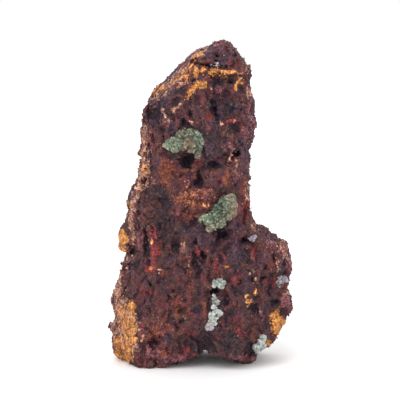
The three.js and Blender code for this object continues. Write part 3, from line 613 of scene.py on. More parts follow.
BEND = 3.0  # how far the features are moved about
LOOSER = 4.0  # how many times as far is added where the surface turns away from the front
WOBBLE = 2.2  # how uneven their outlines are
BEND_NOISES = {
    "bend_x": ("noise", 2.2, {"detail": 3.0, "seed": 8}),
    "bend_z": ("noise", 2.2, {"detail": 3.0, "seed": 9}),
    "wobble": ("noise", 1.7, {"detail": 4.0, "roughness": 0.6, "seed": 29}),
}
ROCK_NOISES = {
    "swell": ("noise", 6.5, {"detail": 3.0, "seed": 1}),
    "zone": ("noise", 8.0, {"detail": 1.0, "seed": 10}),
    "lump": ("voronoi", 3.2, {"warp": 1.4, "stretch": 1.3, "seed": 2}),
    "box": ("voronoi", 1.7, {"warp": 1.0, "stretch": 1.5, "seed": 3}),
    "crag": ("noise", 1.4, {"detail": 4.0, "roughness": 0.68, "warp": 0.6, "seed": 6}),
    "bead": ("voronoi", 0.9, {"warp": 0.4, "seed": 5}),
    "pit": ("noise", 2.4, {"detail": 2.5, "warp": 1.0, "stretch": 1.3, "seed": 4}),
    "crevice": ("noise", 4.0, {"detail": 3.0, "warp": 1.0, "stretch": 1.8, "seed": 7}),
    "rake": ("noise", 0.9, {"stretch": 7.0, "turn": SLOPE_TURN, "seed": 19}),
    "comb": ("noise", 0.9, {"stretch": 6.0, "turn": STRIP_TURN, "seed": 20}),
    **BEND_NOISES,
}


def bent(points, n, loose=0.0):
    """The places of points on the sheet, moved about by noise, and the wobble of outlines there."""
    across, up = laid_out(points)
    bend = BEND * (1 + LOOSER * loose)
    across += bend * (n["bend_x"] - 0.5)
    up += bend * (n["bend_z"] - 0.5)
    return across, up, WOBBLE * (n["wobble"] - 0.5)


LIFT = 0.45  # makes up for what the relief takes away
# How high the relief of each noise is, in millimetres.
HEIGHTS = {"swell": 2.4, "lump": 0.9, "box": 0.7, "crag": 1.4, "bead": 0.35, "crevice": 0.7,
           "pit": 0.9, "rake": 1.2, "comb": 0.8}
CELL_LEVEL = 0.45  # the distance in a voronoi cell at which it adds nothing
# How much of the roughness is missing where the rock is smooth or streaked along the slope.
SMOOTHED = {"calm": 0.75, "slope": 0.5}
# The values of their noises where boxwork, crevices and pits begin and where they are full.
BOX_ZONE = (0.38, 0.6)
CREVICE_EDGE = (0.9, 0.99)
PIT_EDGE = (0.58, 0.72)


def rock_field(grid):
    """The distance field of the finished rock, negative inside."""
    points, triangles = mesh_arrays(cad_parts["matrix_rock"].data)
    plain = blurred(grid.distance(points, triangles), FACET_BLUR / grid.voxel)
    near = np.abs(plain) < BAND - grid.voxel
    at = grid.points(near)
    n = noises(at, ROCK_NOISES)
    share = smoothstep(*RELIEF_EDGE, at[:, 1])
    sheet = bent(at, n)
    calm, slope, strip = (
        share * coverage(*sheet, GRAIN_PATCHES[name]) for name in ("calm", "slope", "strip"))
    # Swells, then the lumps, boxwork, crags, beads, crevices and pits of where the rock is rough,
    # and the streaks.
    rough = 1 - SMOOTHED["calm"] * calm - SMOOTHED["slope"] * slope
    boxy = smoothstep(*BOX_ZONE, n["zone"])
    crevice = 1 - np.abs(2 * n["crevice"] - 1)
    h = HEIGHTS
    relief = LIFT + h["swell"] * (n["swell"] - 0.5)
    relief += rough * h["lump"] * (CELL_LEVEL - n["lump"])
    relief += rough * boxy * h["box"] * (n["box"] - CELL_LEVEL)
    relief += rough * h["crag"] * (n["crag"] - 0.5)
    relief += rough * h["bead"] * (CELL_LEVEL - n["bead"])
    relief -= rough * h["crevice"] * smoothstep(*CREVICE_EDGE, crevice)
    relief -= rough * h["pit"] * smoothstep(*PIT_EDGE, n["pit"])
    relief += h["rake"] * slope * (n["rake"] - 0.5) + h["comb"] * strip * (n["comb"] - 0.5)
    for feature in FRONT_RELIEF:
        away, height, steep = place(*sheet, feature)
        relief += share * height * np.exp(-away ** steep)
    field = plain.copy()
    field[near] = plain[near] - relief * SCALE
    z = grid.axis(2)[None, None, :]
    return np.maximum(field, -z)


def keep_largest(points, quads):
    """Drops loose crumbs: keeps the largest connected part of a mesh."""
    label = np.arange(len(points))
    a, b = quads.ravel(), np.roll(quads, -1, axis=1).ravel()
    while True:
        low = np.minimum(label[a], label[b])
        new = label.copy()
        np.minimum.at(new, a, low)
        np.minimum.at(new, b, low)
        new = new[new]
        if (new == label).all():
            break
        label = new
    names, counts = np.unique(label, return_counts=True)
    kept = label == names[counts.argmax()]
    index = np.cumsum(kept) - 1
    return points[kept], index[quads[kept[quads[:, 0]]]].astype(np.int32)


# Where the masks of the rock's shape begin and where they are full: as depths in the smoothed field in
# millimetres, and for the contact as the cover of the crusts.
# Hollows, depths and the rock against the crusts get painted shade from them, and ridges a painted
# highlight.
SHAPE_MASKS = {
    "hollow_shade": (0.1, -0.5),
    "ridge_highlight": (0.0, 0.6),
    "depth_shade": (0.1, -1.5),
    "contact_shade": (-1.2, 0.0),
}
# Each colour's patches on the sides and the back: the cell and the options of their noise, and
# its values where a patch begins and where it is full.
WILD_PATCHES = {
    "umber_and_shade": (7.5, {"seed": 17}, 0.48, 0.66),
    "plum": (9.0, {"seed": 16}, 0.48, 0.70),
    "rust": (8.0, {"seed": 14}, 0.52, 0.72),
    "rose": (7.0, {"seed": 11}, 0.58, 0.76),
    "red": (5.0, {"warp": 0.8, "stretch": 1.6, "seed": 15}, 0.60, 0.76),
    "tan": (8.0, {"warp": 1.0, "stretch": 2.0, "seed": 13}, 0.58, 0.74),
    "ochre": (6.5, {"detail": 2.5, "warp": 1.0, "seed": 12}, 0.60, 0.74),
    "blush_glint": (1.6, {"detail": 1.0, "seed": 18}, 0.74, 0.80),
    "slate": (4.0, {"detail": 1.0, "seed": 38}, 0.70, 0.84),
    "gold_glint": (1.9, {"detail": 1.0, "seed": 28}, 0.74, 0.80),
}
MASK_NOISES = {name: ("noise", *row[:2]) for name, row in WILD_PATCHES.items()} | BEND_NOISES


def painted(points, ahead):
    """How much of each colour and each kind of grain there is at points of the surface.

    ahead is how far the surface there faces the front, from 1 to -1.
    """
    n = noises(points, MASK_NOISES)
    share = smoothstep(*PAINT_EDGE, points[:, 1]) * smoothstep(*PAINT_AHEAD, ahead)
    sheet = bent(points, n, smoothstep(*LOOSE_AHEAD, ahead))
    found = {name: share * coverage(*sheet, patches) for name, patches in GRAIN_PATCHES.items()}
    for colour, patches in COLOUR_PATCHES.items():
        wild = smoothstep(*WILD_PATCHES[colour][2:], n[colour])
        found[colour] = share * coverage(*sheet, patches) + (1 - share) * wild
    return found


def make_rock():
    grid = Grid(ROCK_LOW - PAD, ROCK_HIGH + PAD, VOXEL)
    field = rock_field(grid)
    points, quads = keep_largest(*grid.mesh(field))
    obj = mesh_object("matrix_rock_surface", points, quads)
    triangles = 2 * len(quads)
    if triangles > MAX_TRIANGLES:
        reduce = obj.modifiers.new("reduce", "DECIMATE")
        reduce.ratio = MAX_TRIANGLES / triangles
        apply_modifiers(obj)
    obj.data.shade_smooth()
    points, _ = mesh_arrays(obj.data)
    small = grid.sample(blurred(field, PIT_BLUR / grid.voxel), points)
    soft = blurred(field, DEPTH_BLUR / grid.voxel)
    large = grid.sample(soft, points)
    step = np.array([0.0, 1.0, 0.0])
    ahead = (grid.sample(soft, points - step) - grid.sample(soft, points + step)) / 2
    masks = painted(points, ahead)
    # Painted shade in hollows, in the depths and against the crusts, and a painted highlight on ridges.
    shape = {"hollow_shade": small, "ridge_highlight": small, "depth_shade": large, "contact_shade": crusted(points)}
    for name, values in shape.items():
        masks[name] = smoothstep(*SHAPE_MASKS[name], values)
    for name, values in masks.items():
        set_attribute(obj, name, values)
    return obj, masks, grid, field


# ---- Grains on the rock ----

GRAIN_MESHES = 2
GRAINS = 13_000  # in each mesh
GRAIN_SIZES = (0.12, 0.27)  # from the middle to a corner
GRAIN_STRETCH = (0.7, 1.2)  # of each of a grain's axes, as a share of its size
GRAIN_SINK = 0.4  # of the size
BARE = {"calm": 0.85, "slope": 0.8}  # the share of grains that is missing there
# The grains' colours, as eight-bit display values.
GRAIN_COLOURS = {
    "maroon": (80, 41, 48),
    "brown": (97, 49, 49),
    "dusk": (48, 31, 42),
    "brick": (102, 47, 48),
    "olive": (88, 65, 52),
    # The umber grains are mostly painted shade, in hollows, depths and dark clumps.
    "umber_and_shade": (40, 27, 33),
    "plum": (78, 53, 70),
    "slate": (84, 84, 102),
    "rust": (132, 70, 50),
    "rose": (138, 84, 88),
    "red": (132, 44, 49),
    "tan": (180, 132, 110),
    "ochre": (196, 128, 62),
    "sand": (224, 164, 98),
    # The blush and gold grains are painted glints of tiny crystals.
    "blush_glint": (232, 178, 146),
    "gold_glint": (236, 160, 86),
}
# Which grains lie where, for the plain rock and for each mask, as weights.
GRAIN_MIX = {
    "plain": {"maroon": 4, "brown": 3, "olive": 1.5, "plum": 1, "dusk": 0.5, "rose": 0.15},
    "shade": {"dusk": 16, "umber_and_shade": 8, "plum": 8},
    "warmth": {"brick": 6, "olive": 5, "rust": 0.8, "rose": 0.6},
    "bloom": {"rose": 4, "rust": 1.6, "tan": 0.8},
    "veined": {"rose": 2.5, "tan": 1.6, "blush_glint": 0.5, "gold_glint": 0.4},
    "umber_and_shade": {"umber_and_shade": 50, "dusk": 30},
    "plum": {"plum": 34, "dusk": 26, "umber_and_shade": 8},
    "rust": {"rust": 34, "brick": 18, "brown": 14, "tan": 2, "gold_glint": 1},
    "rose": {"rose": 26, "brick": 16, "plum": 10, "tan": 0.4},
    "red": {"red": 36, "brick": 28},
    "tan": {"tan": 34, "rose": 10, "brown": 8, "sand": 6, "blush_glint": 2},
    "ochre": {"ochre": 80, "sand": 50, "rust": 16, "tan": 12},
    "blush_glint": {"blush_glint": 90, "tan": 20},
    "slate": {"slate": 30, "dusk": 30},
    "gold_glint": {"gold_glint": 90, "ochre": 20},
    # Dark grains in hollows and depths: painted shade.
    "hollow_shade": {"umber_and_shade": 24, "dusk": 16},
    "depth_shade": {"umber_and_shade": 30, "dusk": 16},
    # Lighter grains on ridges: painted highlight.
    "ridge_highlight": {"brown": 3, "rose": 1.6, "tan": 0.2},
}
GRAIN_NOISES = {
    "shade": ("noise", 1.3, {"seed": 51}),
    "warmth": ("noise", 2.0, {"seed": 52}),
    "bloom": ("noise", 1.0, {"seed": 53}),
}
GRAIN_CLUMPS = (0.52, 0.62)  # where those noises begin to count, and where they count in full
OCTAHEDRON = [(0, 2, 4), (2, 1, 4), (1, 3, 4), (3, 0, 4),
              (2, 0, 5), (1, 2, 5), (3, 1, 5), (0, 3, 5)]


def octahedra(middles, size, rng):
    """Stretched octahedra that point any way: points and triangles."""
    count = len(middles)
    first = rng.normal(size=(count, 3))
    second = np.cross(first, rng.normal(size=(count, 3)))
    third = np.cross(first, second)
    corners = []
    for axis in (first, second, third):
        reach = axis / np.linalg.norm(axis, axis=1, keepdims=True) * size
        reach *= rng.uniform(*GRAIN_STRETCH, (count, 1))
        corners += [middles + reach, middles - reach]
    return repeated(corners, OCTAHEDRON)


def make_grains(rock, masks, number):
    """One mesh of grains that are strewn over the rock and partly sunk in it."""
    rng = np.random.default_rng(SEED + number)
    points, triangles = mesh_arrays(rock.data)
    a, b, c = (points[triangles[:, k]] for k in range(3))
    facing = np.cross(b - a, c - a)
    area = np.linalg.norm(facing, axis=1)
    tried = rng.choice(len(triangles), 2 * GRAINS, p=area / area.sum())
    corner = triangles[tried, 0]
    wanted = crusted(points[corner]) < 0
    for mask, bare in BARE.items():
        wanted = wanted * (1 - bare * masks[mask][corner])
    tried = tried[rng.uniform(size=len(tried)) < wanted][:GRAINS]
    corner = triangles[tried, 0]
    share = rng.dirichlet((1, 1, 1), len(tried))[:, :, None]
    middles = a[tried] * share[:, 0] + b[tried] * share[:, 1] + c[tried] * share[:, 2]
    small, large = GRAIN_SIZES
    size = small + (large - small) * rng.uniform(size=(len(tried), 1)) ** 2
    middles -= GRAIN_SINK * size * (facing / area[:, None])[tried]
    shapes, faces = octahedra(middles, size, rng)
    shapes[:, 2] = np.maximum(shapes[:, 2], CLEARANCE)
    obj = mesh_object(f"matrix_rock_grains_{number}", shapes, faces, smooth=False)
    names = list(GRAIN_COLOURS)
    weights = np.zeros((len(tried), len(names)))
    n = noises(middles, GRAIN_NOISES)
    local = {name: smoothstep(*GRAIN_CLUMPS, n[name]) for name in GRAIN_NOISES}
    local.update({name: values[corner] for name, values in masks.items()}, plain=1.0)
    for mask, mix in GRAIN_MIX.items():
        for colour, weight in mix.items():
            weights[:, names.index(colour)] += local[mask] * weight
    total = np.cumsum(weights, axis=1)
    kind = (rng.uniform(size=len(tried))[:, None] * total[:, -1:] > total).sum(1)
    for name in names:
        obj.data.materials.append(grain_material(name))
    kinds = np.repeat(kind, len(OCTAHEDRON)).astype(np.int32)
    obj.data.polygons.foreach_set("material_index", kinds)
    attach(obj, "root")
    return obj


# ---- The crystal crusts ----

CRUST_VOXEL = 0.14
CRYSTAL_SPACING = 0.27
CRYSTAL_LENGTHS = (0.3, 0.75)
CRYSTAL_WIDTHS = (0.09, 0.2)  # half of the wide way
CRYSTAL_FLATNESS = (0.55, 0.9)  # the thin way as a share of the wide way
CRYSTAL_LEAN = 0.6
CRYSTAL_FOOT = 0.4  # how deep a crystal stands in its crust, as a share of its length
ROOTS = 0.8  # how deep a crust reaches into the rock
FREE = 0.1  # how far a crust stands out of the rock where crystals stand on it
ROUNDNESS = 0.4  # the power of the cover that rounds a crust's edge
RAGGED = 1.1  # how uneven a crust's outline is
NO_CRUST = -1.0  # a height below the roots, where nothing is left
EDGE_LEVEL = 0.55  # the value of the edge noise that leaves the outline where it is
BUMP_LEVEL = 0.4  # the distance in a voronoi cell at which its bump adds nothing
LUMP_HEIGHT = 0.6
SUGAR_HEIGHT = 0.3
BODY_TONE = 0.4  # the tone of a crust between its crystals
DISC_SHARE = 0.94  # leaves room for the crystals that lean out at the edge
OUTSIDE = -9.0  # the cover far from any disc
CRUST_PAD = 2.0  # free space around a crust's box in its field
REACH_BACK = 3.0  # how far behind a crust's box its outline still counts
# Each crust: slot, thickness, and the discs that make up its outline: place across and up as
# shares of the node's box, radius, how light the crystals are there and how warm.
CRUSTS = {
    "crust_upper": ("austinite", 1.3, [
        (0.14, 0.45, 1.25, 0.5, 0.1), (0.25, 0.51, 1.40, 0.5, 0.0), (0.37, 0.48, 1.30, 0.35, 0.1),
        (0.26, 0.34, 1.05, 0.4, 0.3), (0.02, 0.42, 0.50, 0.4, 0.2), (0.38, 0.75, 0.90, 0.2, 0.5),
        (0.52, 0.82, 0.95, 0.2, 0.5), (0.66, 0.82, 1.05, 0.25, 0.2), (0.80, 0.74, 1.15, 0.4, 0.0),
        (0.87, 0.57, 1.05, 0.3, 0.0), (0.86, 0.38, 0.95, 0.2, 0.1), (0.83, 0.21, 0.85, 0.2, 0.3),
        (0.84, 0.08, 0.60, 0.3, 0.7), (0.61, 0.62, 0.85, 0.0, 1.0), (0.70, 0.48, 0.90, 0.0, 0.8),
        (0.78, 0.27, 0.70, 0.1, 0.4), (0.55, 0.50, 0.80, 0.1, 1.1), (0.50, 0.36, 0.55, 0.2, 0.9),
        (0.66, 0.28, 0.65, 0.2, 0.6)]),
    "crust_middle": ("austinite", 1.5, [
        (0.25, 0.31, 1.30, 0.6, 0.1), (0.14, 0.39, 0.85, 0.5, 0.0), (0.03, 0.32, 0.45, 0.4, 0.1),
        (0.26, 0.08, 0.70, 0.6, 0.8), (0.35, 0.17, 1.05, 0.5, 0.6), (0.38, 0.42, 1.55, 0.25, -0.1),
        (0.53, 0.24, 1.20, 0.5, 0.6), (0.51, 0.60, 1.45, 0.15, -0.2), (0.61, 0.45, 1.60, 0.1, 0.1),
        (0.74, 0.42, 1.15, 0.3, 0.8), (0.66, 0.79, 1.45, 0.2, 0.0), (0.79, 0.63, 1.55, 0.3, 0.5),
        (0.81, 0.85, 1.25, 0.4, 0.8), (0.90, 0.68, 0.90, 0.5, 1.2), (0.85, 0.50, 1.05, 0.4, 1.1)]),
    "crust_bead": ("austinite_pale", 1.1, [
        (0.56, 0.56, 1.05, 0.4, 0.1), (0.26, 0.62, 0.60, 0.4, 0.2), (0.15, 0.36, 0.40, 0.4, 0.2),
        (0.72, 0.29, 0.55, 0.4, 0.3), (0.84, 0.60, 0.50, 0.4, 0.3)]),
    "crust_fleck": ("austinite_pale", 0.7, [
        (0.17, 0.98, 0.24, 0.2, 0.2), (-0.05, 0.62, 0.28, 0.2, 0.5), (0.40, 0.60, 0.34, 0.1, 0.4),
        (0.62, 0.34, 0.50, 0.2, 0.3), (0.75, 0.06, 0.34, 0.4, 0.3), (0.10, 0.20, 0.22, 0.2, 0.5)]),
    "crust_trail": ("austinite_pale", 0.9, [
        (0.43, 0.98, 0.40, 0.6, 0.2), (0.53, 0.93, 0.42, 0.5, 0.2), (0.60, 0.80, 0.50, 0.7, 0.2),
        (0.75, 0.75, 0.44, 0.7, 0.3), (0.86, 0.68, 0.38, 0.7, 0.5), (0.48, 0.71, 0.54, 0.7, 0.2),
        (0.75, 0.62, 0.34, 0.6, 0.3), (0.28, 0.66, 0.45, 0.6, 0.2), (0.37, 0.55, 0.74, 0.8, 0.1),
        (0.51, 0.48, 0.62, 0.7, 0.1), (0.44, 0.35, 0.80, 0.6, 0.1), (0.30, 0.30, 0.65, 0.7, 0.5),
        (0.21, 0.20, 0.70, 0.8, 0.9), (0.12, 0.12, 0.50, 0.8, 1.0), (0.30, 0.15, 0.55, 0.8, 0.9)]),
    "crust_foot": ("austinite_pale", 1.1, [
        (0.70, 0.88, 0.75, 0.7, 0.2), (0.60, 0.71, 0.90, 0.7, 0.2), (0.50, 0.53, 1.10, 0.6, 0.2),
        (0.60, 0.35, 1.10, 0.6, 0.2), (0.37, 0.26, 1.20, 0.5, 0.4), (0.20, 0.37, 0.90, 0.3, 0.5),
        (0.07, 0.47, 0.50, 0.3, 0.4), (0.47, 0.14, 0.75, 0.4, 0.4)]),
    "crust_edge": ("austinite_grey", 0.9, [
        (0.40, 0.71, 0.52, 0.4, 0.2), (0.72, 0.65, 0.44, 0.4, 0.3), (0.96, 0.53, 0.32, 0.3, 0.4),
        (0.20, 0.47, 0.52, 0.1, 0.0), (0.24, 0.26, 0.38, 0.0, 0.0), (0.56, 0.53, 0.46, 0.3, 0.1)]),
    "crust_shoulder": ("austinite_grey", 0.7, [
        (0.15, 0.23, 0.42, 0.0, 1.0), (0.54, 0.38, 0.48, 0.1, 1.0), (0.77, 0.62, 0.36, 0.1, 0.8)]),
    "crust_ledge": ("austinite_grey", 0.6, [
        (0.10, 0.30, 0.18, 0.1, 0.2), (0.40, 0.22, 0.28, 0.2, 0.2), (0.64, 0.26, 0.34, 0.4, 0.2),
        (0.90, 0.24, 0.24, 0.3, 0.2)]),
}
CRUST_NOISES = {
    "lump": ("voronoi", 1.1, {"warp": 0.2, "seed": 31}),
    "sugar": ("voronoi", 0.5, {"seed": 32}),
    "edge": ("noise", 0.8, {"seed": 33}),
}


def crust_cover(name, points):
    """How far points are inside a crust's outline, and how light and warm the crystals are there.

    The cover is 1 in the middle of a disc and 0 at its edge.
    """
    low, high = box(name)
    cover = np.full(len(points), OUTSIDE)
    total = np.full(len(points), 1e-9)
    light, warm = np.zeros(len(points)), np.zeros(len(points))
    for u, v, radius, disc_light, disc_warm in CRUSTS[name][2]:
        x, z = low[[0, 2]] + np.array([u, v]) * (high - low)[[0, 2]]
        reach = DISC_SHARE * radius * SCALE
        away = ((points[:, 0] - x) ** 2 + (points[:, 2] - z) ** 2) / reach ** 2
        cover = np.maximum(cover, 1 - away)
        weight = np.exp(-2 * away)
        total += weight
        light += weight * disc_light
        warm += weight * disc_warm
    return cover, light / total, warm / total


def crusted(points):
    """How far inside any crust's outline points of the front are, as in crust_cover."""
    most = np.full(len(points), OUTSIDE)
    for name in CRUSTS:
        near = points[:, 1] < box(name)[1][1] + REACH_BACK
        most[near] = np.maximum(most[near], crust_cover(name, points[near])[0])
    return most


def crust_body(name, rock_grid, rock_field):
    """The mound of a crust as points and quads, wrapped over the rock."""
    low, high = box(name)
    thickness = CRUSTS[name][1]
    grid = Grid(low - CRUST_PAD, high + CRUST_PAD, CRUST_VOXEL)
    at = grid.points(np.ones(grid.shape, bool))
    n = noises(at, CRUST_NOISES)
    rock = rock_grid.sample(rock_field, at)
    cover = crust_cover(name, at)[0] + RAGGED * (n["edge"] - EDGE_LEVEL)
    skin = np.where(cover > 0, thickness * np.clip(cover, 0, 1) ** ROUNDNESS, NO_CRUST)
    bumps = LUMP_HEIGHT * (BUMP_LEVEL - n["lump"]) + SUGAR_HEIGHT * (BUMP_LEVEL - n["sugar"])
    skin += np.where(cover > 0, bumps, 0)
    body = np.maximum(rock - skin, -(rock + ROOTS))
    return grid.mesh(body.reshape(grid.shape).astype(np.float32))


# A crystal's corners are a ring below, a ring above and the two ends of the chisel edge.
CRYSTAL_RING = [(1, 1), (-1, 1), (-1, -1), (1, -1)]
CRYSTAL_SIDES = [(0, 1, 5, 4), (1, 2, 6, 5), (2, 3, 7, 6), (3, 0, 4, 7)]
CRYSTAL = [t for a, b, c, d in CRYSTAL_SIDES for t in ((a, b, c), (a, c, d))]
CRYSTAL += [(4, 5, 9), (4, 9, 8), (6, 7, 8), (6, 8, 9), (5, 6, 9), (7, 4, 8)]
CHISEL = 0.6  # where along a crystal its chisel end begins
CHISEL_EDGE = 0.5  # the length of the chisel's edge as a share of the wide way
CRYSTAL_TIPS = [0.0] * 4 + [CHISEL] * 4 + [1.0] * 2  # how near each corner is to the tip


def crystal_shapes(feet, normals, rng):
    """Stout wedge-ended prisms that stand on their feet: points and triangles."""
    count = len(feet)
    length = rng.uniform(*CRYSTAL_LENGTHS, count)[:, None]
    wide = rng.uniform(*CRYSTAL_WIDTHS, count)[:, None]
    thin = wide * rng.uniform(*CRYSTAL_FLATNESS, count)[:, None]
    axis = normals + CRYSTAL_LEAN * rng.normal(size=(count, 3))
    axis /= np.linalg.norm(axis, axis=1, keepdims=True)
    side = np.cross(axis, rng.normal(size=(count, 3)))
    side /= np.linalg.norm(side, axis=1, keepdims=True)
    other = np.cross(axis, side)
    corners = [feet + axis * length * up + side * wide * a + other * thin * b
               for up in (-CRYSTAL_FOOT, CHISEL) for a, b in CRYSTAL_RING]
    corners += [feet + axis * length + side * wide * a * CHISEL_EDGE for a in (1, -1)]
    return repeated(corners, CRYSTAL)


def vertex_normals(points, quads):
    a, b, c, d = (points[quads[:, k]] for k in range(4))
    facing = np.cross(c - a, d - b)
    total = np.zeros_like(points)
    for k in range(4):
        np.add.at(total, quads[:, k], facing)
    return total / np.maximum(np.linalg.norm(total, axis=1, keepdims=True), 1e-9)


def make_crust(name, rock_grid, rock_field):
    slot = CRUSTS[name][0]
    rng = np.random.default_rng(SEED + len(name))
    points, quads = crust_body(name, rock_grid, rock_field)
    normals = vertex_normals(points, quads)
    outer = np.flatnonzero(rock_grid.sample(rock_field, points) > FREE)
    count = int(len(outer) * (CRUST_VOXEL / CRYSTAL_SPACING) ** 2)
    chosen = rng.choice(outer, min(count, len(outer)), replace=False)
    shapes, faces = crystal_shapes(points[chosen], normals[chosen], rng)
    tips = np.tile(CRYSTAL_TIPS, len(chosen))
    tone = np.repeat(rng.uniform(0, 1, len(chosen)), len(CRYSTAL_TIPS))
    body_faces = np.concatenate([quads[:, [0, 1, 2]], quads[:, [0, 2, 3]]])
    everything = np.concatenate([points, shapes])
    obj = mesh_object(name + "_crystals", everything,
                      np.concatenate([body_faces, faces + len(points)]), smooth=False)
    _, light, warm = crust_cover(name, everything)
    set_attribute(obj, "light", light)
    set_attribute(obj, "warm", warm)
    # How near each point is to a crystal's tip, for the painted highlight there.
    set_attribute(obj, "tip_highlight", np.concatenate([np.zeros(len(points)), tips]))
    set_attribute(obj, "tone", np.concatenate([np.full(len(points), BODY_TONE), tone]))
    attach(obj, "root")
    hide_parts(name)
    obj.data.materials.append(crystal_material(slot))
    return obj


# ---- Materials ----

MAROON = linear(80, 38, 46)
BROWN = linear(100, 48, 49)
DUSK = linear(56, 37, 44)
BRICK = linear(110, 47, 46)
OLIVE = linear(88, 62, 50)
MAUVE = linear(84, 54, 66)
VEIN = linear(206, 146, 112)
# Each colour of the rock's patches, for its dark and its light parts.
ROCK_COLOURS = {
    # umber is mostly painted shade.
    "umber_and_shade": ((32, 22, 31), (56, 36, 45)),
    "plum": ((52, 34, 46), (88, 60, 76)),
    "rust": ((88, 42, 36), (140, 70, 48)),
    "rose": ((104, 55, 62), (156, 96, 102)),
    "red": ((96, 34, 40), (152, 50, 52)),
    "tan": ((118, 76, 70), (206, 156, 132)),
    "ochre": ((154, 88, 48), (228, 158, 80)),
    # blush is painted glints.
    "blush_glint": ((180, 122, 104), (242, 192, 160)),
    "slate": ((50, 50, 64), (98, 100, 118)),
    # gold is painted glints.
    "gold_glint": ((210, 130, 70), (250, 190, 120)),
}
# The colour of the painted shade in hollows, in the depths and against the crusts.
PAINTED_SHADE_COLOUR = linear(40, 28, 40)


def new_material(name, inputs=None):
    """A material, its node tree, and its shader with these inputs."""
    material = bpy.data.materials.new(name)
    material.use_nodes = True
    tree = material.node_tree
    shader = tree.nodes["Principled BSDF"]
    feed(tree, shader, inputs or {})
    return material, tree, shader


def mask_socket(tree, name):
    return add_node(tree, "ShaderNodeAttribute", attribute_name=name).outputs["Fac"]


def math_socket(tree, operation, a, b=0.0, c=0.0):
    return add_node(tree, "ShaderNodeMath", {0: a, 1: b, 2: c}, operation=operation).outputs[0]


def sum_socket(tree, start, *terms):
    """start plus each socket times its factor."""
    total = start
    for socket, factor in terms:
        total = math_socket(tree, "MULTIPLY_ADD", socket, factor, total)
    return total


def step_socket(tree, value, low, high, top=1.0):
    inputs = {"Value": value, "From Min": low, "From Max": high, "To Max": top}
    return add_node(tree, "ShaderNodeMapRange", inputs, interpolation_type="SMOOTHSTEP").outputs[0]


def mix_socket(tree, factor, a, b):
    """Colour a turned into colour b by a factor."""
    return add_node(tree, "ShaderNodeMix", {0: factor, 6: a, 7: b}, data_type="RGBA").outputs[2]


def position_socket(tree):
    """The place on the object, in millimetres."""
    return scaled_socket(tree, tree.nodes.new("ShaderNodeTexCoord").outputs["Object"], 1 / MM)


def faceted_normal(tree, colour, strength):
    """The surface's normal, tilted a random way in each grain."""
    normal = tree.nodes.new("ShaderNodeNewGeometry").outputs["Normal"]
    tilt = scaled_socket(tree, vector_socket(tree, "SUBTRACT", colour, GREY), strength)
    return vector_socket(tree, "NORMALIZE", vector_socket(tree, "ADD", normal, tilt))


def base_colour(tree, broad, middle, grains, clumps):
    """The rock's own colour: maroon and brown, tinted in clumps and in grains."""
    _, grain_b, grain_c, _ = grains
    clump_a, clump_b, clump_c, _ = clumps
    colour = mix_socket(tree, step_socket(tree, broad, 0.4, 0.6), MAROON, BROWN)
    tints = [
        (OLIVE, 0.0, [(clump_a, 0.7), (middle, 0.5)], (0.62, 0.82, 0.8)),
        (MAUVE, 0.7, [(clump_a, -0.7), (broad, 0.5)], (0.66, 0.86, 0.8)),
        (DUSK, 0.0, [(clump_b, 0.3), (middle, 1.1), (grain_c, 0.3)], (0.80, 1.05, 0.85)),
        (BRICK, 0.0, [(clump_c, 0.3), (broad, 1.1), (grain_b, 0.35)], (0.88, 1.12, 0.8)),
    ]
    for tint, start, terms, step in tints:
        amount = step_socket(tree, sum_socket(tree, start, *terms), *step)
        colour = mix_socket(tree, amount, colour, tint)
    return colour


def streak_socket(tree, at, mask, stretch, turn, seed):
    """Streaks, from -0.5 to 0.5, where the mask is."""
    streaks = noise_socket(tree, at, "noise", 0.5, stretch=stretch, turn=turn, seed=seed)
    centred = sum_socket(tree, -0.5, (streaks, 1.0))
    return math_socket(tree, "MULTIPLY", mask_socket(tree, mask), centred)


def vein_socket(tree, at):
    """How much of a net of thin veins shows: a little anywhere, and more in the veined parts."""
    net = noise_socket(tree, at, "noise", 1.5, detail=3.0, roughness=0.6, seed=30)
    line = math_socket(tree, "ABSOLUTE", sum_socket(tree, -1.0, (net, 2.0)))
    share = sum_socket(tree, 0.11, (mask_socket(tree, "veined"), 0.5))
    return math_socket(tree, "MULTIPLY", step_socket(tree, line, 0.05, 0.015), share)


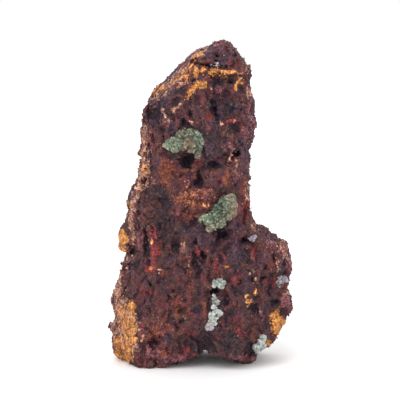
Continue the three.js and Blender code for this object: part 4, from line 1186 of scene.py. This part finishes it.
def rock_material():
    material, tree, shader = new_material("gossan")
    at = position_socket(tree)
    broad = noise_socket(tree, at, "noise", 3.4, detail=3.0, seed=21)
    middle = noise_socket(tree, at, "noise", 1.2, detail=3.0, roughness=0.6, seed=22)
    fine = noise_socket(tree, at, "noise", 0.4, roughness=0.6, seed=24)
    along_slope = streak_socket(tree, at, "slope", 8.0, SLOPE_TURN, 26)
    along_strip = streak_socket(tree, at, "strip", 6.0, STRIP_TURN, 27)
    grains = cell_sockets(tree, at, 0.42, warp=0.3, seed=23)
    clumps = cell_sockets(tree, at, 1.9, warp=1.4, seed=25)
    grain_a, grain_b, _, grain_colour = grains
    colour = base_colour(tree, broad, middle, grains, clumps)
    # the patches, with ragged edges
    speckle = sum_socket(tree, -0.6, (grain_a, 0.5), (clumps[0], 0.3), (middle, 0.4))
    even = sum_socket(tree, 1.0, (mask_socket(tree, "calm"), -0.6),
                      (mask_socket(tree, "slope"), -0.7))
    speckle = math_socket(tree, "MULTIPLY", speckle, even)
    speckle = sum_socket(tree, speckle, (along_slope, 2.6), (along_strip, 0.8))
    ragged = sum_socket(tree, 1.0, (speckle, 1.4))
    tone = sum_socket(tree, 0.0, (grain_b, 0.4), (middle, 0.7), (fine, 0.6))
    tone = step_socket(tree, tone, 0.6, 1.1)
    for name, (deep, bright) in ROCK_COLOURS.items():
        amount = math_socket(tree, "MULTIPLY", mask_socket(tree, name), ragged)
        shade = mix_socket(tree, tone, linear(*deep), linear(*bright))
        colour = mix_socket(tree, step_socket(tree, amount, 0.3, 0.6, 0.95), colour, shade)
    colour = mix_socket(tree, vein_socket(tree, at), colour, VEIN)
    # lighter and darker tone, lighter on ridges as a painted highlight, and painted shade in pits, in the
    # depths and against the crusts
    value = sum_socket(tree, -0.225, (grain_b, 0.35), (fine, 1.1), (middle, 0.4),
                       (mask_socket(tree, "ridge_highlight"), 0.3), (along_slope, 2.2), (along_strip, 1.6))
    pit = sum_socket(tree, 0.0, (mask_socket(tree, "hollow_shade"), 0.5), (mask_socket(tree, "depth_shade"), 0.55),
                     (mask_socket(tree, "contact_shade"), 0.35))
    final = mix_socket(tree, pit, scaled_socket(tree, colour, value), PAINTED_SHADE_COLOUR)
    bump = add_node(tree, "ShaderNodeBump", {
        "Height": fine, "Strength": 0.9, "Distance": 0.35 * MM,
        "Normal": faceted_normal(tree, grain_colour, 0.4)})
    feed(tree, shader, {
        "Base Color": final, "Roughness": sum_socket(tree, 0.9, (grain_a, -0.45)),
        "Specular IOR Level": 0.3, "Normal": bump.outputs[0]})
    return material


@functools.cache
def grain_material(name):
    return new_material("grain_" + name, {
        "Base Color": linear(*GRAIN_COLOURS[name]), "Roughness": 0.55, "Specular IOR Level": 0.33})[0]


# Colours of the crystals: in the depth, on the faces, at the tips, where the lighter colour is a painted
# highlight, and where they are warm.
CRYSTAL_COLOURS = {
    "austinite": [(60, 72, 62), (112, 126, 101), (176, 192, 162), (158, 128, 104)],
    "austinite_pale": [(94, 108, 98), (158, 172, 160), (218, 228, 218), (192, 172, 180)],
    "austinite_grey": [(104, 104, 100), (164, 158, 158), (218, 212, 218), (182, 160, 182)],
}


@functools.cache
def crystal_material(slot):
    material, tree, shader = new_material(slot)
    deep, face, tip_highlight, warm = (linear(*colour) for colour in CRYSTAL_COLOURS[slot])
    cloud = noise_socket(tree, position_socket(tree), "noise", 1.2, seed=41)
    # The colour lightens towards the tips: painted highlight.
    value = sum_socket(tree, -0.5, (mask_socket(tree, "light"), 0.9), (mask_socket(tree, "tone"), 0.7),
                       (cloud, 0.5), (mask_socket(tree, "tip_highlight"), 0.45))
    colour = mix_socket(tree, step_socket(tree, value, 0.0, 0.5), deep, face)
    colour = mix_socket(tree, step_socket(tree, value, 0.4, 0.9), colour, tip_highlight)
    tint = math_socket(tree, "MULTIPLY", mask_socket(tree, "warm"), 0.7)
    colour = mix_socket(tree, tint, colour, warm)
    feed(tree, shader, {
        "Base Color": colour, "Roughness": 0.35, "IOR": 1.76, "Transmission Weight": 0.15,
        "Subsurface Weight": 0.3, "Subsurface Radius": (0.6, 0.8, 0.6),
        "Subsurface Scale": 0.6 * MM})
    return material


# ---- Stage ----

def look_at(obj, target):
    direction = Vector(target) - obj.location
    obj.rotation_euler = direction.to_track_quat("-Z", "Y").to_euler()


def make_camera():
    data = bpy.data.cameras.new("camera")
    data.lens = LENS
    data.sensor_width = SENSOR
    data.clip_start = 0.01
    data.clip_end = 20.0
    camera = linked("camera", data)
    distance = VIEW_WIDTH * LENS / SENSOR
    tilt = math.radians(CAMERA_ELEVATION)
    target = Vector(AIM) * MM
    camera.location = target + Vector((0, -math.cos(tilt), math.sin(tilt))) * distance * MM
    look_at(camera, target)
    bpy.context.scene.camera = camera


def make_stage():
    corners = [(-1, -1, 0), (1, -1, 0), (1, 1, 0), (-1, 1, 0)]
    floor = mesh_object("floor", FLOOR_REACH * np.array(corners), [[0, 1, 2, 3]])
    floor.data.materials.append(new_material("floor", {
        "Base Color": (0.93, 0.93, 0.93, 1), "Roughness": 0.9, "Specular IOR Level": 0.1})[0])
    world = bpy.data.worlds.new("world")
    world.use_nodes = True
    tree = world.node_tree
    direction = tree.nodes.new("ShaderNodeTexCoord").outputs["Generated"]
    height = add_node(tree, "ShaderNodeSeparateXYZ", {0: direction}).outputs["Z"]
    strength = add_node(tree, "ShaderNodeMapRange", {
        "Value": height, "From Min": 0.1, "From Max": 0.5, "To Min": 1.0, "To Max": DOME})
    feed(tree, tree.nodes["Background"], {"Strength": strength.outputs[0], "Color": (1, 1, 1, 1)})
    bpy.context.scene.world = world
    for name, azimuth, elevation, strength, angle in SUNS:
        data = bpy.data.lights.new(name, "SUN")
        data.energy = strength
        data.angle = math.radians(angle)
        light = linked(name, data)
        a, e = math.radians(azimuth), math.radians(elevation)
        light.location = (math.sin(a) * math.cos(e), -math.cos(a) * math.cos(e), math.sin(e))
        look_at(light, (0, 0, 0))
    bpy.context.scene.view_settings.view_transform = "Standard"


# ---- Assembly ----

make_camera()
make_stage()
rock, masks, grid, field = make_rock()
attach(rock, "root")
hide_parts("matrix_rock")
rock.data.materials.append(rock_material())
for number in range(GRAIN_MESHES):
    make_grains(rock, masks, number)
for crust in CRUSTS:
    make_crust(crust, grid, field)
